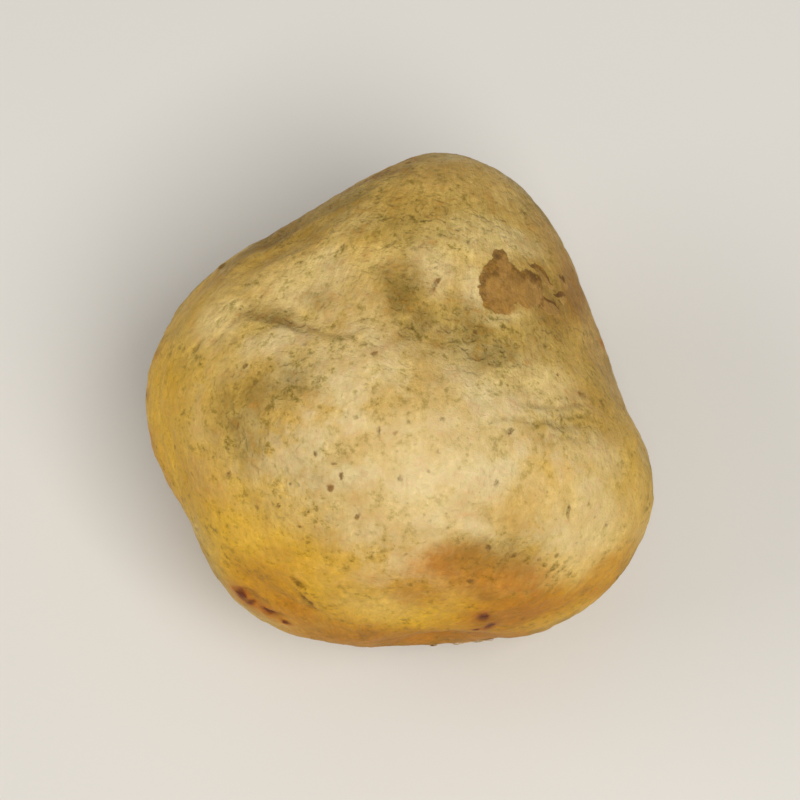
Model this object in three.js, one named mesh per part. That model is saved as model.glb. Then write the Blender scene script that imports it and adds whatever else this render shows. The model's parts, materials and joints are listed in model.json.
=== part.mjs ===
// A straw mushroom picked at the egg stage, before the veil opens: one closed bulb of flesh.
// It lies on its side, as a loose one comes to rest. The narrow crown points along +Y and a
// little up, the broad base with its torn root scar points along -Y and down, and a small
// flat spot, pressed by the mushroom's own weight, carries it.
//
// Millimetres, +Z up. The origin is on the surface that the mushroom lies on, straight below
// the middle of its box. A place on the skin is given by its azimuth, in degrees from +X
// towards +Y, and its elevation, in degrees above the horizon, both seen from the bulb's centre.

import * as THREE from "three";
import { mergeVertices } from "three/addons/utils/BufferGeometryUtils.js";

// Driving dimensions: the plain ball that the bulb swells from
const HALF_WIDTH = 22.0;
const HALF_LENGTH = 18.2;
const HALF_HEIGHT = 19.8;
const MEAN_RADIUS = 19.6;

// The crown: the narrow end, a round hill whose height in millimetres falls to about a third
// at its spread in degrees
const CROWN = { azimuth: 79, elevation: 20, height: 3.2, spread: 24 };

// The neck: a wide hollow that rings the crown, a number of degrees away from the crown's
// middle. It is deepest on the right flank, tilted a few degrees up from that side's middle
const NECK = { away: 65, spread: 33, depth: 3.2, deeperOnRight: 2.2, tilt: 8 };

// Other swellings (+) and hollows (-) of the bulb, shaped as the crown is
const LOBES = [
  { name: "right haunch", azimuth: -44, elevation: -6, height: 2.5, spread: 48 },
  { name: "left haunch", azimuth: 151, elevation: -4, height: 1.0, spread: 12 },
  { name: "pressed base", azimuth: -79, elevation: -14, height: -1.5, spread: 11 },
  { name: "left heel", azimuth: -127, elevation: -10, height: 1.5, spread: 20 },
  { name: "belly", azimuth: -70, elevation: 55, height: 0.7, spread: 34 },
  { name: "underside", azimuth: -40, elevation: -60, height: 0.5, spread: 30 },
  { name: "chin", azimuth: 84, elevation: -42, height: 2.2, spread: 30 },
];

// Creases: grooves that run from one place to another and fade out at both ends,
// with their depth and half width in millimetres
const CREASES = [
  { name: "waist", from: [171, 38], to: [2, 50], depth: 0.35, halfWidth: 3.0 },
  { name: "arched crease", from: [157, 44], to: [176, 78], depth: 0.42, halfWidth: 1.0 },
  { name: "shoulder fold", from: [156, 30], to: [108, 44], depth: 0.35, halfWidth: 1.2 },
  { name: "upper wrinkle", from: [-28, 62], to: [-6, 27], depth: 0.22, halfWidth: 1.0 },
  { name: "lower wrinkle", from: [-34, 55], to: [-14, 28], depth: 0.2, halfWidth: 1.0 },
  { name: "left nick", from: [-152, 26], to: [-164, -44], depth: 1.25, halfWidth: 5.5 },
  { name: "heel fold", from: [-138, 9], to: [-104, 3], depth: 0.34, halfWidth: 1.1 },
  { name: "back fold", from: [50, -14], to: [112, -30], depth: 0.28, halfWidth: 1.6 },
  { name: "under fold", from: [-160, -38], to: [150, -26], depth: 0.35, halfWidth: 1.4 },
];

// The root scar, where the bulb was torn from its bed: a shallow dish in a raised lip, whose
// radius is uneven by a small share of itself
const SCAR = {
  azimuth: -93,
  elevation: -38,
  radius: 5.4,
  uneven: 0.1,
  sink: 0.9,
  dishShare: 0.75,
  lip: 0.4,
  lipWidth: 2.0,
};

// Short puckers that run out from the scar, uneven in length and spacing and a little askew
const PUCKERS = {
  count: 7,
  start: 5.5,
  length: 8,
  depth: 0.32,
  halfWidth: 1.4,
  uneven: 0.3,
  askew: 0.12,
};

// Slow unevenness of the skin, the sum of waves that run in evenly spread directions
const WAVES = { count: 14, height: 0.065, longest: 17, shortest: 7 };

// The flat spot: how far the bulb is pressed in, and how softly the spot's edge is rounded
const FLAT_DEPTH = 1.0;
const FLAT_EDGE = 0.2;

// Each of the icosahedron's 20 faces is split into this number, squared, of small triangles
const SPLITS = 22;

const GOLDEN_ANGLE = Math.PI * (3 - Math.sqrt(5));
const UP = new THREE.Vector3(0, 0, 1);

// The unit vector that points at a place on the skin
function towards(azimuth, elevation) {
  const a = THREE.MathUtils.degToRad(azimuth);
  const e = THREE.MathUtils.degToRad(elevation);
  return new THREE.Vector3(Math.cos(a) * Math.cos(e), Math.sin(a) * Math.cos(e), Math.sin(e));
}

function ballRadius(d) {
  return 1 / Math.hypot(d.x / HALF_WIDTH, d.y / HALF_LENGTH, d.z / HALF_HEIGHT);
}

function lobeRelief(d, lobe) {
  const away = 1 - d.dot(towards(lobe.azimuth, lobe.elevation));
  const reach = 1 - Math.cos(THREE.MathUtils.degToRad(lobe.spread));
  return lobe.height * Math.exp(-away / reach);
}

// The crown's axis, and two directions square to it: level to the right, and up
const crownAxis = towards(CROWN.azimuth, CROWN.elevation);
const crownRight = new THREE.Vector3().crossVectors(crownAxis, UP).normalize();
const crownUp = new THREE.Vector3().crossVectors(crownRight, crownAxis);

function neckRelief(d) {
  const away = THREE.MathUtils.radToDeg(d.angleTo(crownAxis));
  const tilt = THREE.MathUtils.degToRad(NECK.tilt);
  const toTheRight = d.dot(crownRight) * Math.cos(tilt) + d.dot(crownUp) * Math.sin(tilt);
  const depth = NECK.depth + NECK.deeperOnRight * toTheRight;
  return -depth * Math.exp(-(((away - NECK.away) / NECK.spread) ** 2));
}

// A groove along the great circle from one unit vector to another
function grooveRelief(d, from, to, depth, halfWidth) {
  const pole = new THREE.Vector3().crossVectors(from, to).normalize();
  const ahead = new THREE.Vector3().crossVectors(pole, from);
  const along = Math.atan2(d.dot(ahead), d.dot(from)) / from.angleTo(to);
  const fade = Math.max(0, 1 - (2 * along - 1) ** 2);
  const aside = MEAN_RADIUS * Math.asin(THREE.MathUtils.clamp(d.dot(pole), -1, 1));
  return -depth * fade * Math.exp(-((aside / halfWidth) ** 2));
}

function creaseRelief(d, crease) {
  const from = towards(...crease.from);
  const to = towards(...crease.to);
  return grooveRelief(d, from, to, crease.depth, crease.halfWidth);
}

// Two directions square to the scar's axis and to each other, for angles round the scar
const scarAxis = towards(SCAR.azimuth, SCAR.elevation);
const scarSide = new THREE.Vector3().crossVectors(UP, scarAxis).normalize();
const scarUp = new THREE.Vector3().crossVectors(scarAxis, scarSide);

// A unit vector a number of millimetres out from the scar's middle, at an angle round it
function roundTheScar(angle, out) {
  const spoke = scarSide.clone().multiplyScalar(Math.cos(angle));
  spoke.addScaledVector(scarUp, Math.sin(angle)).multiplyScalar(Math.sin(out / MEAN_RADIUS));
  return spoke.addScaledVector(scarAxis, Math.cos(out / MEAN_RADIUS));
}

// The scar's outline is a circle bent by a three-lobed and a weaker five-lobed wave
function scarRelief(d) {
  const out = MEAN_RADIUS * d.angleTo(scarAxis);
  const angle = Math.atan2(d.dot(scarUp), d.dot(scarSide));
  const bend = Math.sin(3 * angle + 1) + Math.sin(5 * angle) / 2;
  const edge = SCAR.radius * (1 + SCAR.uneven * bend);
  const lip = SCAR.lip * Math.exp(-(((out - edge) / SCAR.lipWidth) ** 2));
  const dish = -SCAR.sink * Math.exp(-((out / (SCAR.dishShare * edge)) ** 3));
  return lip + dish;
}

function puckerRelief(d, index) {
  const spacing = (2 * Math.PI) / PUCKERS.count;
  const angle = spacing * index + PUCKERS.uneven * Math.sin(GOLDEN_ANGLE * index);
  const length = PUCKERS.length * (1 + PUCKERS.uneven * Math.cos(2 * GOLDEN_ANGLE * index));
  const from = roundTheScar(angle, PUCKERS.start);
  const to = roundTheScar(angle + PUCKERS.askew, PUCKERS.start + length);
  return grooveRelief(d, from, to, PUCKERS.depth, PUCKERS.halfWidth);
}

function waveRelief(d, index) {
  const share = (index + 0.5) / WAVES.count;
  const height = 2 * share - 1;
  const turn = GOLDEN_ANGLE * index;
  const level = Math.sqrt(1 - height * height);
  const heading = new THREE.Vector3(level * Math.cos(turn), level * Math.sin(turn), height);
  const wavelength = WAVES.longest + (WAVES.shortest - WAVES.longest) * share;
  const phase = (2 * Math.PI * MEAN_RADIUS * d.dot(heading)) / wavelength;
  return WAVES.height * Math.sin(phase + turn);
}

function repeated(count, relief) {
  let sum = 0;
  for (let index = 0; index < count; index += 1) {
    sum += relief(index);
  }
  return sum;
}

// The point of the skin in one direction from the bulb's centre
function skinPoint(d) {
  let radius = ballRadius(d) + lobeRelief(d, CROWN) + neckRelief(d);
  radius += LOBES.reduce((sum, lobe) => sum + lobeRelief(d, lobe), 0);
  radius += CREASES.reduce((sum, crease) => sum + creaseRelief(d, crease), 0);
  radius += scarRelief(d);
  radius += repeated(PUCKERS.count, (index) => puckerRelief(d, index));
  radius += repeated(WAVES.count, (index) => waveRelief(d, index));
  return d.clone().multiplyScalar(radius);
}

// Whatever reaches below the flat spot's plane is pressed up onto it, with a rounded edge
function pressed(z, plane) {
  const above = z - plane;
  if (above >= FLAT_EDGE) {
    return z;
  }
  return plane + Math.max(0, above + FLAT_EDGE) ** 2 / (4 * FLAT_EDGE);
}

function bulbGeometry() {
  const geometry = new THREE.IcosahedronGeometry(1, SPLITS - 1);
  geometry.deleteAttribute("normal");
  geometry.deleteAttribute("uv");
  const bulb = mergeVertices(geometry, 1e-5);
  const places = bulb.getAttribute("position");
  const direction = new THREE.Vector3();
  const points = [];
  for (let i = 0; i < places.count; i += 1) {
    points.push(skinPoint(direction.fromBufferAttribute(places, i).normalize()));
  }
  const lowest = Math.min(...points.map((point) => point.z));
  points.forEach((point, i) => {
    places.setXYZ(i, point.x, point.y, pressed(point.z, lowest + FLAT_DEPTH));
  });

  bulb.computeBoundingBox();
  const middle = bulb.boundingBox.getCenter(new THREE.Vector3());
  bulb.translate(-middle.x, -middle.y, -bulb.boundingBox.min.z);
  bulb.computeVertexNormals();
  return bulb;
}

// Dry, matt, buff skin
function skinMaterial() {
  return new THREE.MeshStandardMaterial({ color: 0xc6a664, roughness: 0.7, metalness: 0 });
}

const bulb = new THREE.Mesh(bulbGeometry(), skinMaterial());
bulb.name = "straw_mushroom";

const mushroom = new THREE.Group();
mushroom.add(bulb);

export default mushroom;
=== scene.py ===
# %% [markdown]
# A straw mushroom picked at the egg stage, before its veil opens.
# The real thing is one closed bulb of soft flesh, a little larger than a walnut. It grew and
# lay squeezed, so it is lopsided and dented, and it was torn from a bed of rotting straw, so
# its base carries a scar and a few crumbs of that bed. The lesson makes it in this order:
# the bulb's form, the places of its marks, its fine relief, what clings to it, the colours of
# its skin, and the studio.

# %% Load the frame
import json
import math

import bpy
from mathutils import Matrix, Vector
from mathutils.bvhtree import BVHTree

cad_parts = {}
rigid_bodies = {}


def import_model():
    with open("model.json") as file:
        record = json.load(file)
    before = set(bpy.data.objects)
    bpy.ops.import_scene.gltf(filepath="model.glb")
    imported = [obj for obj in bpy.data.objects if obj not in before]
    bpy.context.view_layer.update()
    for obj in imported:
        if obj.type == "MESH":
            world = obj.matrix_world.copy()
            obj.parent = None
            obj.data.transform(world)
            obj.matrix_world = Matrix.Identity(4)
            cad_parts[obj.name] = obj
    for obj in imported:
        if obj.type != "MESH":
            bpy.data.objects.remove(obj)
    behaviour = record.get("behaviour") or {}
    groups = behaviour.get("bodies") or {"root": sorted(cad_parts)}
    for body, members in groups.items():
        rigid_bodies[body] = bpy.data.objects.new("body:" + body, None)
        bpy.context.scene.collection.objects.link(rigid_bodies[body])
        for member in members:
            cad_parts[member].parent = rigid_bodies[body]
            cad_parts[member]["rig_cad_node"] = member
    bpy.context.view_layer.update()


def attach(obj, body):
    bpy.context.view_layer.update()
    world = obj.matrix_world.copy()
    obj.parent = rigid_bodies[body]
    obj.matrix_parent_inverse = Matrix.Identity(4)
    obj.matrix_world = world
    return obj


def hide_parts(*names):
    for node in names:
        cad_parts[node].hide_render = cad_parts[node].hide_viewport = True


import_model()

BODY = "root"
NODE = "straw_mushroom"
MM = 0.001

# %% [markdown]
# Node trees are long to write by hand. A sum of two masks takes three lines: add the node,
# link one socket, link the other. So two small classes do the wiring. A Wire is an output
# socket that Python's own operators work on, and each operator adds one Math node. A Maker
# adds any other node from its type, its settings and the values or wires of its sockets. The
# same two classes serve for geometry and for shaders, because both kinds of tree share their
# maths, noise and mix nodes.

# %% Wires and makers
def operator(operation, swapped=False):
    def apply(wire, other=None):
        pair = [other, wire] if swapped else [wire, other]
        return wire.maker.maths(operation, *[value for value in pair if value is not None])

    return apply


class Wire:
    """An output socket that arithmetic works on."""

    def __init__(self, maker, socket):
        self.maker = maker
        self.socket = socket

    __add__ = operator("ADD")
    __radd__ = operator("ADD", swapped=True)
    __sub__ = operator("SUBTRACT")
    __rsub__ = operator("SUBTRACT", swapped=True)
    __mul__ = operator("MULTIPLY")
    __rmul__ = operator("MULTIPLY", swapped=True)
    __truediv__ = operator("DIVIDE")
    __rtruediv__ = operator("DIVIDE", swapped=True)
    __pow__ = operator("POWER")
    exp = operator("EXPONENT")
    sin = operator("SINE")
    asin = operator("ARCSINE")
    acos = operator("ARCCOSINE")
    atan2 = operator("ARCTAN2")
    at_least = operator("MAXIMUM")
    at_most = operator("MINIMUM")


class Maker:
    """Adds nodes to one tree."""

    def __init__(self, tree):
        self.tree = tree

    def node(self, kind, settings=None, sockets=None):
        node = self.tree.nodes.new(kind)
        for name, value in (settings or {}).items():
            setattr(node, name, value)
        for key, value in (sockets or {}).items():
            if isinstance(value, Wire):
                self.tree.links.new(value.socket, node.inputs[key])
            else:
                node.inputs[key].default_value = value
        return node

    def wire(self, kind, settings=None, sockets=None, out=0):
        return Wire(self, self.node(kind, settings, sockets).outputs[out])

    def maths(self, operation, *values):
        return self.wire("ShaderNodeMath", {"operation": operation}, dict(enumerate(values)))

    def vector(self, operation, *values):
        out = "Value" if operation in ("DOT_PRODUCT", "LENGTH", "DISTANCE") else "Vector"
        names = {"operation": operation}
        if operation == "SCALE":
            return self.wire("ShaderNodeVectorMath", names, {0: values[0], "Scale": values[1]})
        return self.wire("ShaderNodeVectorMath", names, dict(enumerate(values)), out)

    def dot(self, a, b):
        return self.vector("DOT_PRODUCT", a, tuple(b) if isinstance(b, Vector) else b)

    def step(self, value, start, end):
        """0 up to start, 1 from end on, and a smooth rise between; start may be the larger."""
        settings = {"interpolation_type": "SMOOTHSTEP"}
        return self.wire("ShaderNodeMapRange", settings, {0: value, 1: start, 2: end})

    def noise(self, place, size, detail=2.0, rough=0.5, seed=None, out=0):
        """Values around a half; with a seed the pattern changes with it."""
        sockets = {"Vector": place, "Scale": 1 / size, "Detail": detail, "Roughness": rough}
        if seed is None:
            return self.wire("ShaderNodeTexNoise", {"noise_dimensions": "3D"}, sockets, out)
        sockets["W"] = seed
        return self.wire("ShaderNodeTexNoise", {"noise_dimensions": "4D"}, sockets, out)

    def mix(self, factor, a, b, blend="MIX"):
        settings = {"data_type": "RGBA", "blend_type": blend, "clamp_factor": True}
        return self.wire("ShaderNodeMix", settings, {0: factor, 6: a, 7: b}, 2)


def combined(m, *values):
    return m.wire("ShaderNodeCombineXYZ", None, dict(enumerate(values)))


# %% [markdown]
# The bulb's form follows one rule, so it is grown by a geometry node tree. A ball is swollen
# at the crown and the haunches, ringed by a neck, creased, and pressed flat where it lies. The
# other ways, sculpting or a turned profile, would give either a form that nobody can retune
# or one that is too regular for something that grew squeezed. Every number is in
# millimetres or degrees, and they are the ones that the solid was made from.

# %% The form's dimensions
MEAN_RADIUS = 19.6
GOLDEN_ANGLE = math.pi * (3 - math.sqrt(5))
TO_DEGREES = 180 / math.pi

# The tree's inputs: what can be retuned after it is built
SIZES = {
    "Half Width": 22.0,
    "Half Length": 18.2,
    "Half Height": 19.8,
    "Crown Height": 3.2,
    "Neck Depth": 3.2,
    "Neck Deeper On Right": 2.2,
    "Wave Height": 0.065,
    "Flat Depth": 1.0,
    "Flat Edge": 0.2,
    "Relief": 1.0,
    "Seed": 4.0,
}

# The crown's azimuth, elevation and spread, and the ring that the neck makes round it
CROWN = (79, 20, 24)
NECK_AWAY = 65
NECK_SPREAD = 33
NECK_TILT = 8

# Swellings and hollows: azimuth, elevation, height, spread
LOBES = {
    "right haunch": (-44, -6, 2.5, 48),
    "left haunch": (151, -4, 1.0, 12),
    "pressed base": (-79, -14, -1.5, 11),
    "left heel": (-127, -10, 1.5, 20),
    "belly": (-70, 55, 0.7, 34),
    "underside": (-40, -60, 0.5, 30),
    "chin": (84, -42, 2.2, 30),
}

# Grooves from one azimuth and elevation to another: from, to, depth, half width
CREASES = {
    "waist": ((171, 38), (2, 50), 0.35, 3.0),
    "arched crease": ((157, 44), (176, 78), 0.42, 1.0),
    "shoulder fold": ((156, 30), (108, 44), 0.35, 1.2),
    "upper wrinkle": ((-28, 62), (-6, 27), 0.22, 1.0),
    "lower wrinkle": ((-34, 55), (-14, 28), 0.2, 1.0),
    "left nick": ((-152, 26), (-164, -44), 1.25, 5.5),
    "heel fold": ((-138, 9), (-104, 3), 0.34, 1.1),
    "back fold": ((50, -14), (112, -30), 0.28, 1.6),
    "under fold": ((-160, -38), (150, -26), 0.35, 1.4),
}

# The root scar is a dish in a raised lip, and its puckers are grooves that run out from it
SCAR_PLACE = (-93, -38)
SCAR_RADIUS = 5.4
SCAR_UNEVEN = 0.1
SCAR_SINK = 0.9
SCAR_DISH_SHARE = 0.75
SCAR_LIP = 0.4
SCAR_LIP_WIDTH = 2.0

PUCKER_COUNT = 7
PUCKER_START = 5.5
PUCKER_LENGTH = 8
PUCKER_DEPTH = 0.32
PUCKER_HALF_WIDTH = 1.4
PUCKER_UNEVEN = 0.3
PUCKER_ASKEW = 0.12

# Slow waves in evenly spread directions make all of it a little uneven
WAVE_COUNT = 14
WAVE_LONGEST = 17
WAVE_SHORTEST = 7

# Corners along each side of the cube that the ball is made from
BALL_CORNERS = 129


def towards(azimuth, elevation):
    a, e = math.radians(azimuth), math.radians(elevation)
    return Vector((math.cos(a) * math.cos(e), math.sin(a) * math.cos(e), math.sin(e)))


print(len(LOBES), "swellings and hollows,", len(CREASES), "creases,", PUCKER_COUNT, "puckers")

# %% [markdown]
# Each swelling and groove is a short function that returns its height over the ball, as wires.
# A groove needs to know how far along and how far aside of its great circle a direction lies,
# and both come from dot products with two fixed vectors.

# %% Swellings and grooves
def lobe_relief(m, d, azimuth, elevation, height, spread):
    reach = 1 - math.cos(math.radians(spread))
    return ((m.dot(d, towards(azimuth, elevation)) - 1) / reach).exp() * height


def groove_shape(m, d, start, end, half_width):
    pole = start.cross(end).normalized()
    ahead = pole.cross(start)
    along = m.dot(d, ahead).atan2(m.dot(d, start)) / start.angle(end)
    fade = (1 - (along * 2 - 1) ** 2).at_least(0)
    aside = m.dot(d, pole).asin() * (MEAN_RADIUS / half_width)
    return fade * (0 - aside * aside).exp()


def sides_of(axis):
    """Two directions square to an axis and to each other: level to the right, and up."""
    right = axis.cross(Vector((0, 0, 1))).normalized()
    return right, right.cross(axis)


def neck_relief(m, d, depth, deeper):
    axis = towards(*CROWN[:2])
    right, up = sides_of(axis)
    tilt = math.radians(NECK_TILT)
    to_the_right = m.dot(d, right * math.cos(tilt) + up * math.sin(tilt))
    away = m.dot(d, axis).acos() * TO_DEGREES
    ring = (0 - ((away - NECK_AWAY) / NECK_SPREAD) ** 2).exp()
    return (depth + deeper * to_the_right) * ring * -1


print("the crown points", [round(x, 2) for x in towards(*CROWN[:2])], "from the centre")

# %% [markdown]
# The root scar is a shallow dish in a raised lip. Its edge is a circle that a three-lobed wave
# and a weaker five-lobed one bend out of round. The puckers round it are grooves that differ
# in length and are a little askew. Last come slow waves over the whole bulb, whose headings
# and lengths follow from their numbers, so nothing here has to be drawn at random.

# %% The scar, its puckers and the waves
scar_axis = towards(*SCAR_PLACE)
scar_side = Vector((0, 0, 1)).cross(scar_axis).normalized()
scar_up = scar_axis.cross(scar_side)


def scar_fields(m, d):
    """How far a direction is from the scar's middle, and the scar's edge there, in mm."""
    out = m.dot(d, scar_axis).acos() * MEAN_RADIUS
    angle = m.dot(d, scar_up).atan2(m.dot(d, scar_side))
    bend = (angle * 3 + 1).sin() + (angle * 5).sin() * 0.5
    return out, (1 + SCAR_UNEVEN * bend) * SCAR_RADIUS


def scar_relief(out, edge):
    lip = (0 - ((out - edge) / SCAR_LIP_WIDTH) ** 2).exp() * SCAR_LIP
    dish = (0 - (out / (edge * SCAR_DISH_SHARE)) ** 3).exp() * SCAR_SINK
    return lip - dish


def round_the_scar(angle, out):
    spoke = scar_side * math.cos(angle) + scar_up * math.sin(angle)
    return spoke * math.sin(out / MEAN_RADIUS) + scar_axis * math.cos(out / MEAN_RADIUS)


def pucker_relief(m, d, index):
    angle = 2 * math.pi / PUCKER_COUNT * index + PUCKER_UNEVEN * math.sin(GOLDEN_ANGLE * index)
    length = PUCKER_LENGTH * (1 + PUCKER_UNEVEN * math.cos(2 * GOLDEN_ANGLE * index))
    start = round_the_scar(angle, PUCKER_START)
    end = round_the_scar(angle + PUCKER_ASKEW, PUCKER_START + length)
    return groove_shape(m, d, start, end, PUCKER_HALF_WIDTH) * -PUCKER_DEPTH


def wave_relief(m, d, index, height):
    share = (index + 0.5) / WAVE_COUNT
    level = 2 * share - 1
    turn = GOLDEN_ANGLE * index
    flat = math.sqrt(1 - level * level)
    heading = Vector((flat * math.cos(turn), flat * math.sin(turn), level))
    wavelength = WAVE_LONGEST + (WAVE_SHORTEST - WAVE_LONGEST) * share
    phase = m.dot(d, heading) * (2 * math.pi * MEAN_RADIUS / wavelength) + turn
    return phase.sin() * height


print("the scar points", [round(x, 2) for x in scar_axis], "from the bulb's centre")

# %% [markdown]
# The marks on the skin, such as bruises, stains and the thin dark creases, are given as seen
# by the viewer: millimetres to the right and up from the middle of the bulb's outline. A mark
# has to stay on the skin from any side, so each is dropped along the line of sight onto the
# solid, and the relief and the colours then use its place in space. That also keeps the
# numbers easy to read off a real mushroom with a ruler.

# %% The line of sight
VIEW_ELEVATION = 70
view_back = towards(-90, VIEW_ELEVATION)
view_right = Vector((1, 0, 0))
view_up = view_back.cross(view_right)

solid = next(o for o in bpy.data.objects if o.get("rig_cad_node") == NODE)
solid_corners = [solid.matrix_world @ v.co for v in solid.data.vertices]
solid_faces = [tuple(p.vertices) for p in solid.data.polygons]
solid_skin = BVHTree.FromPolygons(solid_corners, solid_faces)
across = [corner.dot(view_right) for corner in solid_corners]
upward = [corner.dot(view_up) for corner in solid_corners]
outline_middle = ((min(across) + max(across)) / 2, (min(upward) + max(upward)) / 2)
middle_depth = sum(corner.dot(view_back) for corner in solid_corners) / len(solid_corners)
outline_size = (max(across) - min(across), max(upward) - min(upward))
print("outline from the viewer, mm:", [round(length / MM, 1) for length in outline_size])


def depth_at(right, up):
    """How far towards the viewer the skin is, in mm, a way right and up of the middle.

    Past the outline, the skin nearest to that line of sight is taken."""
    across_by, up_by = outline_middle[0] + right * MM, outline_middle[1] + up * MM
    line = view_right * across_by + view_up * up_by
    hit = solid_skin.ray_cast(line + view_back, -view_back)[0]
    if hit is None:
        hit = solid_skin.find_nearest(line + view_back * middle_depth)[0]
    return hit.dot(view_back) / MM


print("depth at the middle of the belly, mm:", round(depth_at(0, 0), 1))

# %% [markdown]
# Each mark is then a soft ellipse in the viewer's own measure: right, up and towards. A place
# on the skin is turned into that measure once, by three dot products, and a mark needs only
# its middle, its size and its tilt after that. Bending the places with noise first gives
# every mark a natural ragged edge for the price of one node. A wrinkle or a scratch is the
# same ellipse, drawn long and thin from one place to another. The bulb's tree stores the masks
# with the mesh, and the relief and the colours read the same values, so a wrinkle's shade
# falls into its own groove.

# %% Masks for marks
MARK_BEND, MARK_BEND_SIZE = 1.6, 2.4

# How deep a mark reaches along the line of sight, as a share of its longer side, and the
# length in mm past which a longer side no longer counts
MARK_REACH, REACH_LIMIT = 1.8, 9

# How wide a mark's edge is: soft, or rising all the way from its rim to its middle
SOFT_EDGE, SLOW_RISE = 0.6, 1


def as_seen(m, place):
    """A place in mm as the viewer measures it, from the middle of the bulb's outline."""
    seen = combined(m, *[m.dot(place, axis) for axis in (view_right, view_up, view_back)])
    return m.vector("SUBTRACT", seen, (outline_middle[0] / MM, outline_middle[1] / MM, 0))


def bent(m, place, size, reach):
    shift = m.vector("SUBTRACT", m.noise(place, size, 2, out=1), (0.5, 0.5, 0.5))
    return m.vector("ADD", place, m.vector("SCALE", shift, reach))


def mark_tree():
    """One mark as a small tree of its own: the larger of its mask and the mask so far."""
    tree = bpy.data.node_groups.new("mark", "GeometryNodeTree")
    for name in ("Seen", "Middle", "Shrink"):
        tree.interface.new_socket(name, in_out="INPUT", socket_type="NodeSocketVector")
    for name in ("Turn", "Soft", "Strength", "So Far"):
        tree.interface.new_socket(name, in_out="INPUT", socket_type="NodeSocketFloat")
    tree.interface.new_socket("Mask", in_out="OUTPUT", socket_type="NodeSocketFloat")
    m = Maker(tree)
    given = m.node("NodeGroupInput")
    size = {item.name: Wire(m, item) for item in given.outputs if item.name}
    sockets = {"Vector": size["Seen"], "Center": size["Middle"], "Angle": size["Turn"]}
    turned = m.wire("ShaderNodeVectorRotate", {"rotation_type": "Z_AXIS"}, sockets)
    local = m.vector("MULTIPLY", m.vector("SUBTRACT", turned, size["Middle"]), size["Shrink"])
    mask = m.step(m.vector("LENGTH", local), size["Soft"] + 1, 1 - size["Soft"])
    m.node("NodeGroupOutput", None, {0: (mask * size["Strength"]).at_least(size["So Far"])})
    return tree


ONE_MARK = mark_tree()


def marked(m, seen, marks, soft=SOFT_EDGE, share=1):
    """The union of soft ellipses: right, up, full width and height in mm, tilt, strength."""
    mask = 0.0
    for right, up, width, height, *rest in marks:
        tilt, strength = (*rest, 1)[:2]
        sizes = (width, height, MARK_REACH * min(max(width, height), REACH_LIMIT))
        sockets = {
            "Seen": seen,
            "Middle": (right, up, depth_at(right, up)),
            "Shrink": tuple(2 / (size * share) for size in sizes),
            "Turn": -math.radians(tilt),
            "Soft": soft,
            "Strength": strength,
            "So Far": mask,
        }
        mask = m.wire("GeometryNodeGroup", {"node_tree": ONE_MARK}, sockets)
    return mask


def stroke(start, end, width, strength):
    """The mark that runs from one place to another."""
    run = [b - a for a, b in zip(start, end)]
    middle = [(a + b) / 2 for a, b in zip(start, end)]
    tilt = math.degrees(math.atan2(run[1], run[0]))
    return (*middle, math.hypot(*run), width, tilt, strength)


print("one mark takes", len(ONE_MARK.nodes), "nodes")

# %% [markdown]
# The wrinkles and scratches that are worth drawing one by one, from a place to a place, with
# their width and depth in millimetres. The longest is the arched crease, where pressure has
# folded the veil. The others are short: drying wrinkles on the right flank, and scuffs on the
# left shoulder and heel.

# %% Wrinkles
WRINKLES = [
    ((-12.8, 7.2), (-9.0, 6.2), 1.0, 0.20),
    ((-10.6, 6.5), (-6.6, 5.7), 0.7, 0.20),
    ((-8.0, 5.9), (-3.6, 5.0), 0.5, 0.12),
    ((-16.9, 3.8), (-15.8, 5.0), 0.6, 0.20),
    ((-15.2, 4.3), (-14.2, 5.4), 0.5, 0.18),
    ((-14.3, 5.6), (-12.6, 7.0), 0.45, 0.16),
    ((-13.6, 4.5), (-13.0, 5.4), 0.4, 0.12),
    ((9.2, -0.2), (13.0, -0.8), 0.55, 0.16),
    ((12.2, -0.6), (15.6, -0.3), 0.45, 0.15),
    ((7.0, -1.7), (10.4, -1.3), 0.5, 0.14),
    ((10.0, -1.6), (14.8, -2.2), 0.55, 0.17),
    ((12.4, -1.1), (15.8, -1.5), 0.4, 0.12),
    ((11.6, -2.8), (14.8, -3.3), 0.4, 0.12),
    ((6.3, -8.3), (7.3, -9.7), 0.5, 0.11),
    ((7.1, -9.7), (8.9, -9.2), 0.4, 0.10),
    ((13.2, -6.0), (13.8, -9.8), 0.7, 0.08),
    ((-8.9, -14.2), (-7.1, -15.3), 0.4, 0.13),
    ((-8.7, -15.1), (-6.4, -17.4), 0.5, 0.17),
    ((-13.2, -15.4), (-11.2, -16.5), 0.7, 0.20),
    ((-11.3, -17.1), (-9.4, -18.0), 0.5, 0.16),
    ((-12.4, 11.8), (-7.6, 14.7), 0.5, 0.12),
    ((-10.8, 10.9), (-6.2, 13.5), 0.45, 0.10),
    ((-6.6, 15.2), (-2.4, 17.3), 0.4, 0.09),
]
WRINKLE_BEND, WRINKLE_BEND_SIZE = 1.0, 1.6


def wrinkle_depth(m, place):
    seen = bent(m, as_seen(m, place), WRINKLE_BEND_SIZE, WRINKLE_BEND)
    return marked(m, seen, [stroke(*wrinkle) for wrinkle in WRINKLES])


print(len(WRINKLES), "wrinkles, the deepest", max(depth for *_, depth in WRINKLES), "mm deep")

# %% [markdown]
# The marks on this mushroom, kind by kind: place right and up of the middle of the outline,
# width, height, tilt and strength. The tree works them out once for each corner of the mesh,
# which is quick and suits the soft ones, since they vary slowly. The crisp ones, such as a
# fresh bruise and the soil specks, have edges finer than the mesh. For them the tree stores a
# value that rises slowly to the mark's middle, and the material cuts the edge out of it.

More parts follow.
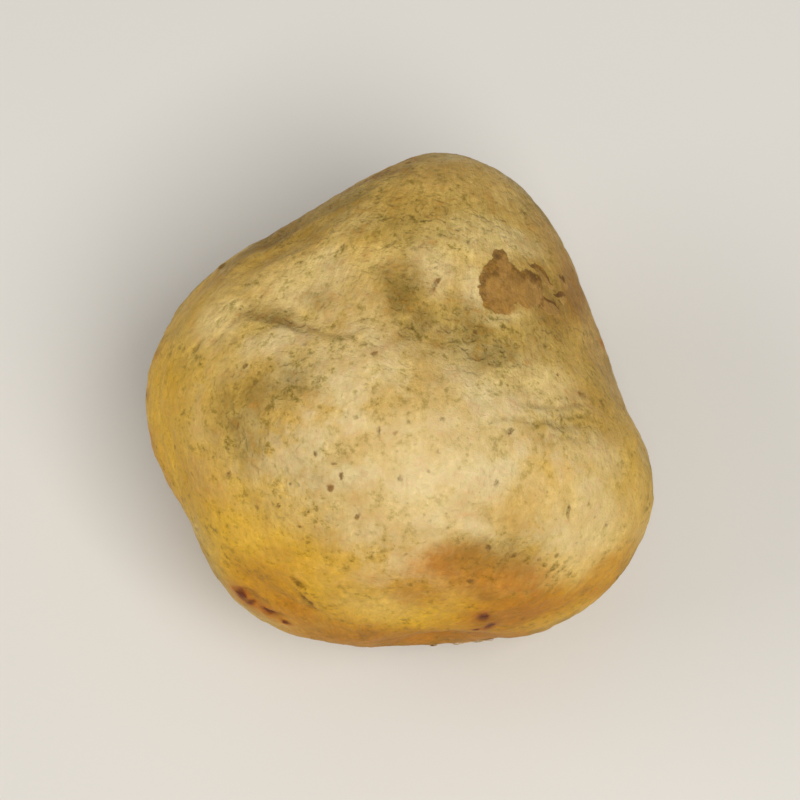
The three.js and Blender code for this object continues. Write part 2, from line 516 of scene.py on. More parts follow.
# %% The marks
SOFT_MARKS = {
    # The golden, amber and rust strips along the outline's edge are partly stain: at the sides
    # they are also painted shade, and at the bottom also a painted reflection
    "golden": [
        (-10.2, -12.8, 15, 11, -30, 1.0), (-19.6, -1.0, 5, 24, 5, 0.9),
        (4.0, -17.6, 28, 6, 0, 1.0), (-17.5, 8.0, 6, 11, -35, 0.7), (15.6, -15.0, 9, 6, 40, 0.9),
        (11.4, -6.6, 3.5, 4.5, 0, 0.5), (13.5, -7.8, 1.4, 5.5, 8, 0.8),
        (19.8, -8.0, 2.4, 14, 8, 0.5), (-14.5, 0.5, 5, 6, 0, 0.35), (-3.4, 12.6, 4, 3, 20, 0.4),
        (-10.6, 10.6, 12, 4, 36, 0.5), (-4.0, 14.0, 4, 2, 20, 0.5), (9.2, -8.0, 4, 3, 0, 0.7),
        (-14.0, 6.6, 4, 3, 30, 0.4), (-4.2, -8.4, 5, 3, 0, 0.35),
    ],
    "pale": [
        (3.6, -6.0, 15, 12, 0, 1.0), (-3.6, 2.6, 9, 5, -10, 0.7), (14.8, -10.0, 7, 10, 15, 0.9),
        (-8.2, 9.8, 8, 5, 30, 1.0), (8.2, 0.6, 12, 3.4, -8, 0.9), (2.6, 10.6, 4, 4, 0, 0.9),
        (19.2, -9.4, 3, 9, 8, 0.3), (-7.6, 9.6, 4, 2.4, 20, 1.0), (-14.2, 6.6, 5, 3, 30, 1.0),
        (10.2, 2.0, 5, 2, -10, 1.0), (6.4, 13.0, 6, 3, -10, 1.0), (-4.2, 14.0, 5, 2, 25, 0.8),
        (14.4, -4.0, 5, 3, 0, 0.7), (17.0, -5.0, 3, 4, 10, 0.6), (-11.4, 9.6, 4, 2, 30, 0.7),
        (9.2, 12.8, 6, 2.0, -20, 1.0), (5.8, 8.6, 1.8, 5, 10, 0.9), (-10.6, 4.6, 4.5, 2, 20, 0.9),
        (3.0, 18.2, 8, 2.6, 0, 0.25), (-2.0, -8.6, 12, 6, 0, 0.6), (-13.6, 8.4, 4, 3, 30, 0.5),
        (4.2, 3.0, 4, 3, 0, 0.6), (7.4, 6.6, 4, 1.4, 0, 0.7), (-1.8, 6.2, 3, 4, 20, 0.5),
        (10.4, 1.4, 6, 3, -10, 1.0), (-5.6, 1.4, 5, 3, 0, 0.7), (-5.4, -3.6, 5, 4, 0, 0.6),
        (17.0, -5.0, 3, 3, 0, 0.5), (-14.0, 7.0, 5, 3, 30, 0.8),
    ],
    "straw": [
        (-12.0, 8.2, 12, 4.5, 38, 0.8), (-14.6, -3.4, 6, 9, 8, 0.6), (-4.2, 14.0, 6, 2.6, 28, 0.9),
        (-2.4, 11.4, 3.4, 2.8, 0, 0.9), (10.0, 2.0, 6, 2.4, -10, 1.0), (6.0, 13.0, 7, 4, 0, 0.9),
        (-14.6, 6.2, 5, 3.4, 30, 0.8), (12.2, -14.0, 6, 2.6, 20, 0.6),
        (-13.0, 3.4, 5, 2.6, 10, 0.5), (10.6, 1.6, 6, 3, -10, 0.8), (-2.0, -16.6, 6, 3, 0, 0.5),
        (-14.2, 6.8, 4, 2.4, 30, 1.0), (-8.0, 10.0, 4, 2.4, 30, 1.0), (-4.2, 14.0, 4, 2, 25, 1.0),
        (11.8, -14.0, 4, 3, 20, 0.9), (-10.6, -8.0, 5, 4, 0, 0.4),
    ],
    "tan": [
        (-8.6, 12.6, 12, 3.8, 32, 0.9), (-12.6, -0.8, 7, 8, 10, 0.5), (-15.6, -3.4, 6, 9, 10, 0.3),
        (0.0, 8.2, 6, 5, 10, 0.5), (12.8, 8.6, 6, 9, 15, 0.9), (0.6, 0.6, 7, 4, 0, 0.35),
        (3.2, 18.4, 12, 3, 0, 0.9), (6.0, -11.8, 9, 3, -10, 0.7), (7.6, -9.0, 6, 2.4, -20, 0.7),
        (5.2, -8.2, 4, 2.4, 10, 0.5), (9.4, -7.8, 3.4, 3, 0, 0.6), (-2.6, -11.0, 8, 3, 0, 0.5),
        (0.0, 16.0, 6, 3, 15, 0.8), (1.0, -3.6, 5, 3, 0, 0.3),
    ],
    "amber": [
        (9.0, -17.4, 12, 3.6, 12, 1.0), (1.0, -19.4, 22, 3.0, 0, 1.0),
        (-10.4, -15.6, 8, 4.4, -38, 1.0), (-19.8, -8.0, 3, 10, 15, 0.6),
        (16.8, -14.4, 7, 3, 42, 0.9), (-16.0, -6.6, 5, 5, 10, 0.35), (0.6, -14.4, 8, 3.4, 0, 0.4),
        (5.6, -13.6, 10, 3.6, -10, 0.8), (-5.6, -17.6, 6, 2.4, -15, 0.4),
    ],
    "brown": [
        (12.8, 13.0, 3, 9, 32, 0.45), (14.3, 8.9, 3.4, 5.4, 5, 1.0), (17.0, 3.0, 3, 9, 22, 0.45),
        (16.4, -1.0, 4, 5, 20, 0.4), (12.4, 6.8, 4, 3, -30, 0.6), (-9.6, 13.9, 6, 2, 30, 0.6),
        (-14.4, 10.6, 5, 1.6, 35, 0.5), (16.0, 6.0, 2, 6, 22, 0.4), (9.6, -17.6, 5, 2, 12, 0.35),
    ],
    "rust": [
        (4.2, -12.8, 6, 3.2, 10, 1.0), (8.4, -14.7, 11, 5.0, -14, 1.0),
        (2.4, -15.0, 6, 3.4, 0, 0.6), (2.8, -19.5, 18, 3.0, 0, 1.0),
        (-4.8, -19.0, 9, 2.6, -8, 0.9), (-12.4, -16.2, 4, 1.8, -35, 1.0),
        (-8.0, -17.4, 6, 2, -30, 0.8), (-9.0, -13.4, 5, 3, -20, 0.3), (-19.6, -8.0, 3, 6, 20, 0.5),
        (-12.6, -16.0, 2.4, 1.6, -30, 1.0), (-10.4, -17.5, 3.0, 1.2, -25, 1.0),
        (6.9, -17.6, 3.4, 3, 30, 0.8), (12.8, -16.4, 6, 1.6, 20, 0.7),
        (9.6, -17.2, 6, 2.6, 10, 0.9),
    ],
    "grey": [
        (6.4, 4.9, 8.4, 4.8, -25, 1.0), (8.2, 3.7, 3.2, 2.0, 0, 0.9),
        (11.6, 5.2, 4.4, 3.4, -20, 0.6), (-12.4, -1.6, 5, 8, 15, 0.85), (-9.2, 1.4, 6, 4, 20, 0.9),
        (0.3, 8.6, 4.0, 4.6, 20, 0.9), (1.8, 6.2, 4.4, 2.0, 35, 0.9),
        (-6.0, 15.4, 15, 3.2, 29, 0.7), (1.0, 14.4, 16, 4, 0, 0.6), (-7.4, -7.6, 9, 8, 0, 0.35),
        (7.6, -12.2, 7, 3, 0, 0.7), (-11.0, 6.8, 7, 1.6, -8, 0.6), (12.0, 16.4, 6, 3, -35, 0.6),
        (13.4, -2.0, 6, 3, 0, 0.4), (4.6, 6.2, 4, 1.4, 20, 0.6), (-6.6, 8.0, 3, 2, -20, 0.5),
    ],
    "smudge": [
        (0.1, 8.6, 2.6, 3.0, 10, 1.0), (1.6, 6.0, 3.0, 1.4, 30, 1.0),
        (7.8, 3.6, 2.6, 1.4, 25, 0.8), (-1.0, 9.9, 2.6, 1.2, -30, 0.5), (5.4, 5.2, 3, 1.6, 0, 0.5),
        (-8.9, 1.2, 3, 1.6, 20, 0.6), (-11.6, 0.4, 2.4, 1.6, 0, 0.5), (0.6, 14.0, 3, 1.6, 0, 0.4),
        (-4.8, 16.0, 5, 1.0, 28, 0.5), (6.9, -17.8, 1.6, 2.0, 30, 0.5),
        (6.4, -15.4, 3, 1.2, -10, 0.5), (11.8, 8.6, 5, 4, -30, 0.6),
        (-9.5, 6.3, 2.2, 1.2, -20, 0.6), (-12.9, -2.2, 1.8, 2.6, 10, 0.5),
        (-11.4, 12.6, 4, 1.0, 28, 0.6),
    ],
}

# Where the skin is smoothest and its mottling weakest
CALM = [(3.4, -5.6, 15, 12, 0), (15, -8, 7, 9, 10)]

# The crisp marks' edges are bent once more, and a bruise's middle sits a little off its rim
EDGE_BEND, EDGE_BEND_SIZE = 1.2, 0.9
BRUISE_SHIFT, BRUISE_SHARE = (-0.3, 0.45, 0), 0.82

# right, up, width, height, tilt
BRUISE = [
    (8.2, 9.2, 3.4, 4.6, -6), (10.2, 8.9, 2.8, 3.2, 0), (8.0, 11.3, 1.3, 1.8, -10),
    (11.6, 10.2, 2.6, 0.7, -38), (11.9, 7.6, 2.6, 0.9, -42), (12.9, 8.7, 1.0, 0.7, 0),
    (13.2, 9.9, 0.9, 0.6, 20),
]
SCORCHES = [
    (6.7, -17.4, 1.0, 0.9, 0), (7.3, -18.3, 1.3, 0.6, 35), (6.2, -18.5, 0.6, 0.4, 0),
    (-13.0, -15.9, 1.5, 0.6, -45), (-12.2, -16.6, 0.9, 0.5, 10), (-10.8, -17.3, 1.4, 0.5, -30),
    (-9.3, -18.2, 0.9, 0.35, -25),
]
SPECKS = [
    (2.8, 9.2, 1.5, 0.4, 55), (-2.0, 3.6, 0.5, 0.45, 0), (3.4, -1.5, 0.4, 0.35, 0),
    (-1.6, -2.5, 0.3, 1.0, 5), (-13.6, -6.0, 0.5, 0.5, 0), (-18.4, -3.8, 0.35, 0.4, 0),
    (-5.5, -6.9, 0.5, 0.6, 10), (-7.2, -8.8, 0.3, 0.3, 0), (-7.3, -11.3, 0.4, 0.4, 0),
    (14.6, 0.3, 0.8, 0.5, -40), (7.6, -6.5, 0.35, 0.6, 0), (9.0, -12.3, 0.6, 0.4, 20),
    (7.0, -11.6, 0.5, 0.6, 0), (5.6, -14.4, 0.6, 0.6, 0), (12.4, -12.4, 0.4, 0.4, 0),
    (16.5, -10.2, 0.5, 0.3, 30), (18.2, -10.1, 0.35, 0.4, 0), (-12.3, 2.7, 0.6, 0.35, 20),
    (-14.7, 11.0, 0.9, 0.35, 15), (-11.4, 1.4, 0.4, 0.5, 0), (-10.4, -0.6, 0.6, 0.4, 30),
    (-6.8, 4.8, 0.3, 0.3, 0), (8.6, -2.4, 0.9, 0.3, 10), (12.6, 2.0, 0.3, 0.3, 0),
    (0.9, 12.9, 0.5, 0.4, 0), (-4.6, 12.2, 0.5, 0.4, 20), (13.4, -8.8, 0.4, 1.2, -5),
    (-8.1, -14.8, 1.6, 0.3, -38), (-7.5, -16.2, 2.8, 0.3, -48), (-5.2, -5.0, 0.4, 0.3, 0),
    (-4.6, -6.0, 0.35, 0.5, 20), (-8.6, -6.6, 0.4, 0.3, 0), (-9.6, -8.4, 0.4, 0.35, 30),
    (-6.6, -4.2, 0.3, 0.5, 0), (-8.0, -10.0, 0.35, 0.3, 0), (-3.4, -9.2, 0.3, 0.4, 0),
]

print("soft marks:", {kind: len(marks) for kind, marks in SOFT_MARKS.items()})
print("crisp marks:", len(BRUISE), "bruises,", len(SCORCHES), "scorches,", len(SPECKS), "specks")

# %% [markdown]
# The skin has relief of its own, finer than the form: slow lumps, dimples, faint ridges that
# run from crown to base, small pits, and a torn, fibrous floor in the root scar. A sculptor
# would dab these on by hand. Here they are noise that pushes the surface along its own
# normal, so they can be tuned by size and depth. Each has a seed of its own, so that no two
# fall in step. A pair such as PIT_CHANCE gives where a smooth step starts and where it is full.

# %% Fine relief
LUMP_SIZE, LUMP_HEIGHT = 4.5, 0.55
DIMPLE_SIZE, DIMPLE_HEIGHT = 1.9, 0.36
GRAIN_SIZE, GRAIN_HEIGHT = 0.8, 0.12
RIDGE_SIZE, RIDGE_LENGTH, RIDGE_HEIGHT = 0.9, 6.0, 0.11
PIT_SPACING, PIT_WIDTH, PIT_FLOOR, PIT_DEPTH = 2.6, 0.9, 0.05, 0.11
PIT_CHANCE = (0.6, 0.8)

# The torn floor starts at the scar's edge; its shreds are stretched along the spokes
TORN_SIZE, TORN_HEIGHT, TORN_EDGE = 1.6, 2.8, (0.4, -0.6)
SHRED_STRETCH, SHRED_SHARE = (4, 4, 0.5), 0.4

# Flaps of skin stand in a band round that edge, where the tatters are strong
FLAP_HEIGHT, FLAP_CHANCE = 0.3, (0.4, 0.6)
FLAP_OUTSIDE, FLAP_INSIDE = (1.6, 0.3), (-0.5, 0.1)


def pits(m, place, seed):
    sockets = {"Vector": place, "W": seed, "Scale": 1 / PIT_SPACING}
    cells = m.node("ShaderNodeTexVoronoi", {"voronoi_dimensions": "4D"}, sockets)
    distance = Wire(m, cells.outputs["Distance"]) * PIT_SPACING
    chosen = m.step(m.dot(Wire(m, cells.outputs["Color"]), (1, 0, 0)), *PIT_CHANCE)
    return m.step(distance, PIT_WIDTH / 2, PIT_FLOOR) * chosen


def along_fibres(m, fibre, size, length):
    """Stretches a pattern so that its flecks run from the crown to the base."""
    return m.vector("MULTIPLY", fibre, (MEAN_RADIUS, MEAN_RADIUS, MEAN_RADIUS * size / length))


def fine_relief(m, place, fibre, tatter, pit, wrinkle, seed):
    lumps = (m.noise(place, LUMP_SIZE, 2, seed=seed) - 0.5) * LUMP_HEIGHT
    dimples = (m.noise(place, DIMPLE_SIZE, 2, seed=seed + 1) - 0.5) * DIMPLE_HEIGHT
    grain = (m.noise(place, GRAIN_SIZE, 1, seed=seed + 2) - 0.5) * GRAIN_HEIGHT
    run = along_fibres(m, fibre, RIDGE_SIZE, RIDGE_LENGTH)
    ridges = (m.noise(run, RIDGE_SIZE, 2, seed=seed + 3) - 0.5) * RIDGE_HEIGHT
    return lumps + dimples + grain + ridges + tatter - pit * PIT_DEPTH - wrinkle


def torn_relief(m, on_ball, spoke, out, seed):
    """Shreds of torn flesh, some drawn out along the scar's spokes, and flaps of skin."""
    shreds = m.noise(m.vector("MULTIPLY", spoke, SHRED_STRETCH), 1.0, 2, seed=seed + 5)
    tatters = m.noise(on_ball, TORN_SIZE, 4, 0.6, seed=seed + 4)
    torn = shreds * SHRED_SHARE + tatters * (1 - SHRED_SHARE) - 0.5
    floor = torn * TORN_HEIGHT * m.step(out, *TORN_EDGE)
    band = m.step(out, *FLAP_OUTSIDE) * m.step(out, *FLAP_INSIDE)
    return floor + band * m.step(tatters, *FLAP_CHANCE) * FLAP_HEIGHT


# %% [markdown]
# Every tree here starts and ends alike. Its inputs are named, it ends in plain geometry with
# its material set, and what has to be known later about a point is stored with the point, as a
# named attribute. A few short helpers say these things once.

# %% The trees' helpers
def new_tree(name, sizes, takes_mesh=False):
    tree = bpy.data.node_groups.new(name, "GeometryNodeTree")
    tree.is_modifier = True
    if takes_mesh:
        tree.interface.new_socket("Mesh", in_out="INPUT", socket_type="NodeSocketGeometry")
    for size in sizes:
        tree.interface.new_socket(size, in_out="INPUT", socket_type="NodeSocketFloat")
    tree.interface.new_socket("Mesh", in_out="OUTPUT", socket_type="NodeSocketGeometry")
    m = Maker(tree)
    given = m.node("NodeGroupInput")
    return m, {item.name: Wire(m, item) for item in given.outputs if item.name}


def end_tree(m, mesh, material):
    mesh = m.wire("GeometryNodeRealizeInstances", None, {"Geometry": mesh})
    mesh = m.wire("GeometryNodeSetShadeSmooth", None, {0: mesh})
    mesh = m.wire("GeometryNodeSetMaterial", None, {"Geometry": mesh, "Material": material})
    m.node("NodeGroupOutput", None, {0: mesh})
    print("tree", m.tree.name, "has", len(m.tree.nodes), "nodes")
    return m.tree


def store(m, mesh, name, value, kind="FLOAT"):
    sockets = {"Geometry": mesh, "Name": name, "Value": value}
    return m.wire("GeometryNodeStoreNamedAttribute", {"data_type": kind}, sockets)


def stored(m, name, kind="FLOAT"):
    return m.wire("GeometryNodeInputNamedAttribute", {"data_type": kind}, {"Name": name})


def moved(m, mesh, position):
    return m.wire("GeometryNodeSetPosition", None, {"Geometry": mesh, "Position": position})


def shifted(m, mesh, offset):
    return m.wire("GeometryNodeSetPosition", None, {"Geometry": mesh, "Offset": offset})


def here(m):
    return m.wire("GeometryNodeInputPosition")


def here_in_mm(m):
    return m.vector("SCALE", here(m), 1 / MM)


# %% [markdown]
# The bulb's tree goes from a ball to the bulb in four moves: swell the ball by all the heights
# together, press its underside flat, set it on the floor with its middle over the origin, and
# push the fine relief out. Here are the first three. The flat spot is the weight's own mark:
# whatever reaches below its plane lies on it.

# %% Swell, press and set down
def swollen_radius(m, d, size, scar_out, scar_edge):
    half = combined(m, size["Half Width"], size["Half Length"], size["Half Height"])
    radius = 1 / m.vector("LENGTH", m.vector("DIVIDE", d, half))
    radius = radius + lobe_relief(m, d, CROWN[0], CROWN[1], size["Crown Height"], CROWN[2])
    radius = radius + neck_relief(m, d, size["Neck Depth"], size["Neck Deeper On Right"])
    for lobe in LOBES.values():
        radius = radius + lobe_relief(m, d, *lobe)
    for start, end, depth, half_width in CREASES.values():
        shape = groove_shape(m, d, towards(*start), towards(*end), half_width)
        radius = radius - shape * depth
    radius = radius + scar_relief(scar_out, scar_edge)
    for index in range(PUCKER_COUNT):
        radius = radius + pucker_relief(m, d, index)
    for index in range(WAVE_COUNT):
        radius = radius + wave_relief(m, d, index, size["Wave Height"])
    return radius


def pressed_flat(m, mesh, size):
    """The flat spot's plane is found from the lowest point, and its edge is rounded."""
    z = m.dot(here(m), (0, 0, 1))
    measured = m.node("GeometryNodeAttributeStatistic", None, {"Geometry": mesh, "Attribute": z})
    above = z - (Wire(m, measured.outputs["Min"]) + size["Flat Depth"])
    edge = size["Flat Edge"]
    rounded = (above + edge).at_least(0) ** 2 / (edge * 4)
    low = m.maths("LESS_THAN", above, edge)
    return shifted(m, mesh, combined(m, 0, 0, (rounded - above) * low))


def set_down(m, mesh):
    """Metres, with the middle of the box over the origin and its bottom at zero."""
    box = m.node("GeometryNodeBoundBox", None, {"Geometry": mesh})
    low, high = Wire(m, box.outputs["Min"]), Wire(m, box.outputs["Max"])
    middle = m.vector("SCALE", m.vector("ADD", low, high), 0.5)
    foot = m.vector("MULTIPLY_ADD", middle, (1, 1, 0), m.vector("MULTIPLY", low, (0, 0, 1)))
    return moved(m, mesh, m.vector("SCALE", m.vector("SUBTRACT", here(m), foot), MM))


# %% [markdown]
# The marks and the fine relief read places on the skin, so they come once the bulb has its
# form. The marks are stored first, because the relief sinks along the stored wrinkles. It
# fades out just above the floor, so that the flat spot stays flat.

# %% Marks and relief
# Where the fine relief starts above the floor and where it is full, in mm
FLAT_FADE = (0.02, 0.8)


def relieved(m, mesh, size):
    place = here_in_mm(m)
    fade = m.step(m.dot(place, (0, 0, 1)), *FLAT_FADE)
    height = fine_relief(m, place, stored(m, "fibre", "FLOAT_VECTOR"), stored(m, "tatter"),
                         stored(m, "pit"), stored(m, "wrinkle"), size["Seed"])
    normal = m.wire("GeometryNodeInputNormal")
    return shifted(m, mesh, m.vector("SCALE", normal, height * fade * size["Relief"] * MM))


def with_marks(m, mesh):
    place = here_in_mm(m)
    seen = bent(m, as_seen(m, place), MARK_BEND_SIZE, MARK_BEND)
    torn = bent(m, seen, EDGE_BEND_SIZE, EDGE_BEND)
    inner = m.vector("ADD", torn, BRUISE_SHIFT)
    near = bent(m, as_seen(m, place), EDGE_BEND_SIZE, EDGE_BEND / 2)
    masks = {"wrinkle": wrinkle_depth(m, place), "calm": marked(m, seen, CALM)}
    masks.update({kind: marked(m, seen, marks) for kind, marks in SOFT_MARKS.items()})
    masks["bruise"] = marked(m, torn, BRUISE, SLOW_RISE)
    masks["bruise middle"] = marked(m, inner, BRUISE, SLOW_RISE, BRUISE_SHARE)
    masks["speck"] = marked(m, near, SPECKS, SLOW_RISE)
    masks["scorch"] = marked(m, near, SCORCHES, SLOW_RISE)
    for name, mask in masks.items():
        mesh = store(m, mesh, name, mask)
    return mesh


# %% [markdown]
# Now the whole tree. It starts from a cube, because a cube's sides spread evenly over a ball
# and no pole bunches its faces. Directions and angles are stored while the mesh is still a
# plain ball, where they are exact. The scar's edge strays where the skin turns away from the
# viewer, and draws back where they see it.

# %% The bulb's tree
# How the scar's spokes sway, and how far its edge strays and draws back, in mm. The horizon
# is where the skin turns away from the viewer
SWAY_SIZE, SWAY = 0.14, 0.2
RAGGED_SIZE, RAGGED_REACH, DRAWN_BACK = 2.2, 3.4, 3
HORIZON = (-0.12, -0.28)

# The least distance from an axis at which an angle round it is still taken
THINNEST = 0.02


def round_an_axis(m, d, axis, scale):
    """The cosine and sine of the angle round an axis, and the distance from it times a scale."""
    right, up = sides_of(axis)
    away = m.dot(d, axis).acos()
    thin = away.sin().at_least(THINNEST)
    return combined(m, m.dot(d, right) / thin, m.dot(d, up) / thin, away * scale)


def bulb_tree(material):
    m, size = new_tree("bulb", SIZES)
    corners = dict.fromkeys(["Vertices X", "Vertices Y", "Vertices Z"], BALL_CORNERS)
    mesh = m.wire("GeometryNodeMeshCube", None, {"Size": (2, 2, 2), **corners})

    spread = m.vector("TANGENT", m.vector("SCALE", here(m), math.pi / 4))
    d = m.vector("NORMALIZE", spread)
    on_ball = m.vector("SCALE", d, MEAN_RADIUS)
    crown_axis = towards(*CROWN[:2])
    scar_out, scar_edge = scar_fields(m, d)
    swayed = m.vector("NORMALIZE", bent(m, d, SWAY_SIZE, SWAY))
    spoke = round_an_axis(m, swayed, scar_axis, MEAN_RADIUS)
    below = m.step(m.dot(d, view_back), *HORIZON)
    ragged = (m.noise(on_ball, RAGGED_SIZE, 3, 0.6, seed=size["Seed"]) - 0.5) * RAGGED_REACH
    past_edge = scar_out - scar_edge + ragged + (1 - below) * DRAWN_BACK

    mesh = store(m, mesh, "way", d, "FLOAT_VECTOR")
    mesh = store(m, mesh, "crown_away", m.dot(d, crown_axis).acos() * TO_DEGREES)
    mesh = store(m, mesh, "fibre", round_an_axis(m, d, crown_axis, 1), "FLOAT_VECTOR")
    mesh = store(m, mesh, "scar_out", past_edge)
    mesh = store(m, mesh, "spoke", spoke, "FLOAT_VECTOR")
    mesh = store(m, mesh, "tatter", torn_relief(m, on_ball, spoke, past_edge, size["Seed"]))
    mesh = store(m, mesh, "pit", pits(m, on_ball, size["Seed"]))

    radius = swollen_radius(m, d, size, scar_out, scar_edge)
    mesh = moved(m, mesh, m.vector("SCALE", d, radius))
    mesh = set_down(m, pressed_flat(m, mesh, size))
    return end_tree(m, relieved(m, with_marks(m, mesh), size), material)


# %% [markdown]
# A tree makes nothing until a modifier runs it. The modifier's inputs are set by each
# socket's identifier, the object is evaluated once, and the result is kept as a plain mesh
# with no modifier left on it, ready to ride on the part's body.

# %% Grow the bulb
def grow(name, tree, values, start=None):
    piece = bpy.data.objects.new(name, start or bpy.data.meshes.new(name))
    bpy.context.scene.collection.objects.link(piece)
    modifier = piece.modifiers.new(name, "NODES")
    modifier.node_group = tree
    for item in tree.interface.items_tree:
        if item.in_out == "INPUT" and item.name in values:
            modifier[item.identifier] = values[item.name]
    graph = bpy.context.evaluated_depsgraph_get()
    made = bpy.data.meshes.new_from_object(
        piece.evaluated_get(graph), preserve_all_data_layers=True, depsgraph=graph)
    piece.modifiers.clear()
    piece.data = made
    made.name = name
    print(name, "has", sum(len(p.vertices) - 2 for p in made.polygons), "triangles")
    return piece


skin = bpy.data.materials.new("mushroom skin")
bulb = grow("bulb", bulb_tree(skin), SIZES)
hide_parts(NODE)
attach(bulb, BODY)
print("bulb, mm:", [round(x / MM, 2) for x in bulb.dimensions])

# %% [markdown]
# What clings to the base tells where the mushroom grew: fine pale root threads that still
# hang from the scar, a few shreds of rotted straw, and soil crumbs. Threads and shreds are
# both strips that start near the scar and run outwards, so one tree makes either from its own
# sizes, in mm.

# %% Threads and shreds
THREADS = {
    "Count": 30, "Start": 2.6, "Start Spread": 3.2, "Shortest": 1.6, "Longest": 6.5,
    "Shorter Upwards": 0.85, "Swing": 0.9, "Wander": 0.12, "Half Width": 0.055,
    "Half Thickness": 0.055, "Lift": 0.16, "Taper": 0.7, "Seed": 11,
}
SHREDS = {
    "Count": 12, "Start": 4.6, "Start Spread": 4.0, "Shortest": 1.2, "Longest": 3.4,
    "Shorter Upwards": 0.8, "Swing": 3.0, "Wander": 0.03, "Half Width": 0.2,
    "Half Thickness": 0.04, "Lift": 0.08, "Taper": 0.35, "Seed": 23,
}
STRIP_STEPS = 20
STRIP_SIDES = 6

# Upwards, where the viewer could see them, strips start nearer to the scar by this share of
# what they lose in length
NEARER_UPWARDS = 0.6

# The wiggle's pace along a strip, its distance from one strip's to the next, and its strength
WIGGLE_PACE, WIGGLE_APART, WIGGLE_STRENGTH = 2.2, 7.3, 4

# How often a strip rises and falls, and how much of its half thickness it always lies up
RIPPLES, LIES_UP = (2, 7), 0.6
print(THREADS["Count"], "threads and", SHREDS["Count"], "shreds to make")

# %% [markdown]
# Two things are needed again and again. A random number is drawn for each strip from its
# number and a seed, so it is the same in every run. And the ball that the bulb grew from
# serves as a map: a way on the ball is looked up there, and the answer is the place on the
# skin. So a strip that runs over the ball follows every dent.

# %% Draw a number, look up a place
def random(m, low, high, number, seed):
    sockets = {"Min": low, "Max": high, "ID": number, "Seed": seed}
    node = m.node("FunctionNodeRandomValue", {"data_type": "FLOAT"})
    for key, value in sockets.items():
        socket = next(s for s in node.inputs if s.name == key and s.enabled)
        if isinstance(value, Wire):
            m.tree.links.new(value.socket, socket)
        else:
            socket.default_value = value
    return Wire(m, next(s for s in node.outputs if s.enabled))


def looked_up(m, bulb_mesh, way, wanted):
    """A vector of the skin's own, such as its place or normal, in a direction from the centre."""
    ball = store(m, bulb_mesh, "wanted", wanted, "FLOAT_VECTOR")
    ball = moved(m, ball, stored(m, "way", "FLOAT_VECTOR"))
    sockets = {"Mesh": ball, "Value": stored(m, "wanted", "FLOAT_VECTOR"), "Sample Position": way}
    return m.wire("GeometryNodeSampleNearestSurface", {"data_type": "FLOAT_VECTOR"}, sockets)


# %% [markdown]
# A strip's way over the ball starts a little out from the scar's middle, heads outwards with a
# swing of its own, and wiggles more towards its tip. Its place is that way's place on the skin,
# lifted by a ripple, so that it lies close here and stands off there.

# %% A strip's way and place
def strip_way(m, size, number, along):
    """The direction from the bulb's centre to each point of the strips."""
    heading = random(m, -0.5, 0.5, number, 1) * size["Swing"]
    length = random(m, 0, 1, number, 2) * (size["Longest"] - size["Shortest"]) + size["Shortest"]
    start = random(m, 0, 1, number, 3) * size["Start Spread"] + size["Start"]
    shorter = (number * GOLDEN_ANGLE).sin().at_least(0) * size["Shorter Upwards"]
    length = length * (1 - shorter)
    start = start * (1 - shorter * NEARER_UPWARDS)

    wiggle_place = combined(m, along * WIGGLE_PACE, number * WIGGLE_APART, size["Seed"])
    wiggle = (m.noise(wiggle_place, 1.0, 2) - 0.5) * size["Wander"] * WIGGLE_STRENGTH * along
    out = (start + m.maths("COSINE", heading) * length * along) / MEAN_RADIUS
    turn = number * GOLDEN_ANGLE + heading.sin() * length * along / start + wiggle
    spoke = m.vector("ADD", m.vector("SCALE", tuple(scar_side), m.maths("COSINE", turn)),
                     m.vector("SCALE", tuple(scar_up), turn.sin()))
    return m.vector("ADD", m.vector("SCALE", spoke, out.sin()),
                    m.vector("SCALE", tuple(scar_axis), m.maths("COSINE", out)))


def strip_place(m, size, number, along, way, normal):
    """A strip's place, a little above the skin and clear of the floor."""
    place = looked_up(m, size["Mesh"], way, here(m))
    rise = (along * random(m, *RIPPLES, number, 4)).sin() * 0.5 + 0.5
    lift = (rise * size["Lift"] + size["Half Thickness"] * LIES_UP) * MM
    place = m.vector("ADD", place, m.vector("SCALE", normal, lift))
    return m.vector("MAXIMUM", place, combined(m, -1, -1, size["Half Width"] * MM))


# %% [markdown]
# The tree copies one straight line as many times as there are strips, lays each along its way,
# and sweeps a small ring along it that tapers to the tip. A thread's ring is round, and a
# shred's is flat, so that it comes out as a ribbon.

# %% The strips' tree
def strip_tree(name, sizes, material):
    m, size = new_tree(name, sizes, takes_mesh=True)
    line = m.wire("GeometryNodeCurvePrimitiveLine")
    line = m.wire("GeometryNodeResampleCurve", None, {"Curve": line, "Count": STRIP_STEPS})
    copies = m.node("GeometryNodeDuplicateElements", {"domain": "SPLINE"},
                    {"Geometry": line, "Amount": size["Count"]})
    number = Wire(m, copies.outputs["Duplicate Index"])
    along = m.wire("GeometryNodeSplineParameter")

    way = strip_way(m, size, number, along)
    normal = looked_up(m, size["Mesh"], way, m.wire("GeometryNodeInputNormal"))
    place = strip_place(m, size, number, along, way, normal)
    strips = moved(m, Wire(m, copies.outputs["Geometry"]), place)
    strips = m.wire("GeometryNodeSetCurveNormal", {"mode": "FREE"},
                    {"Curve": strips, "Normal": normal})

    ring = m.wire("GeometryNodeCurvePrimitiveCircle", None,
                  {"Resolution": STRIP_SIDES, "Radius": 1.0})
    flat = combined(m, size["Half Thickness"], size["Half Width"], 1)
    ring = m.wire("GeometryNodeTransform", None, {"Geometry": ring, "Scale": flat})
    thick = (1 - along * size["Taper"]) * MM
    sockets = {"Curve": strips, "Profile Curve": ring, "Scale": thick, "Fill Caps": True}
    return end_tree(m, m.wire("GeometryNodeCurveToMesh", None, sockets), material)


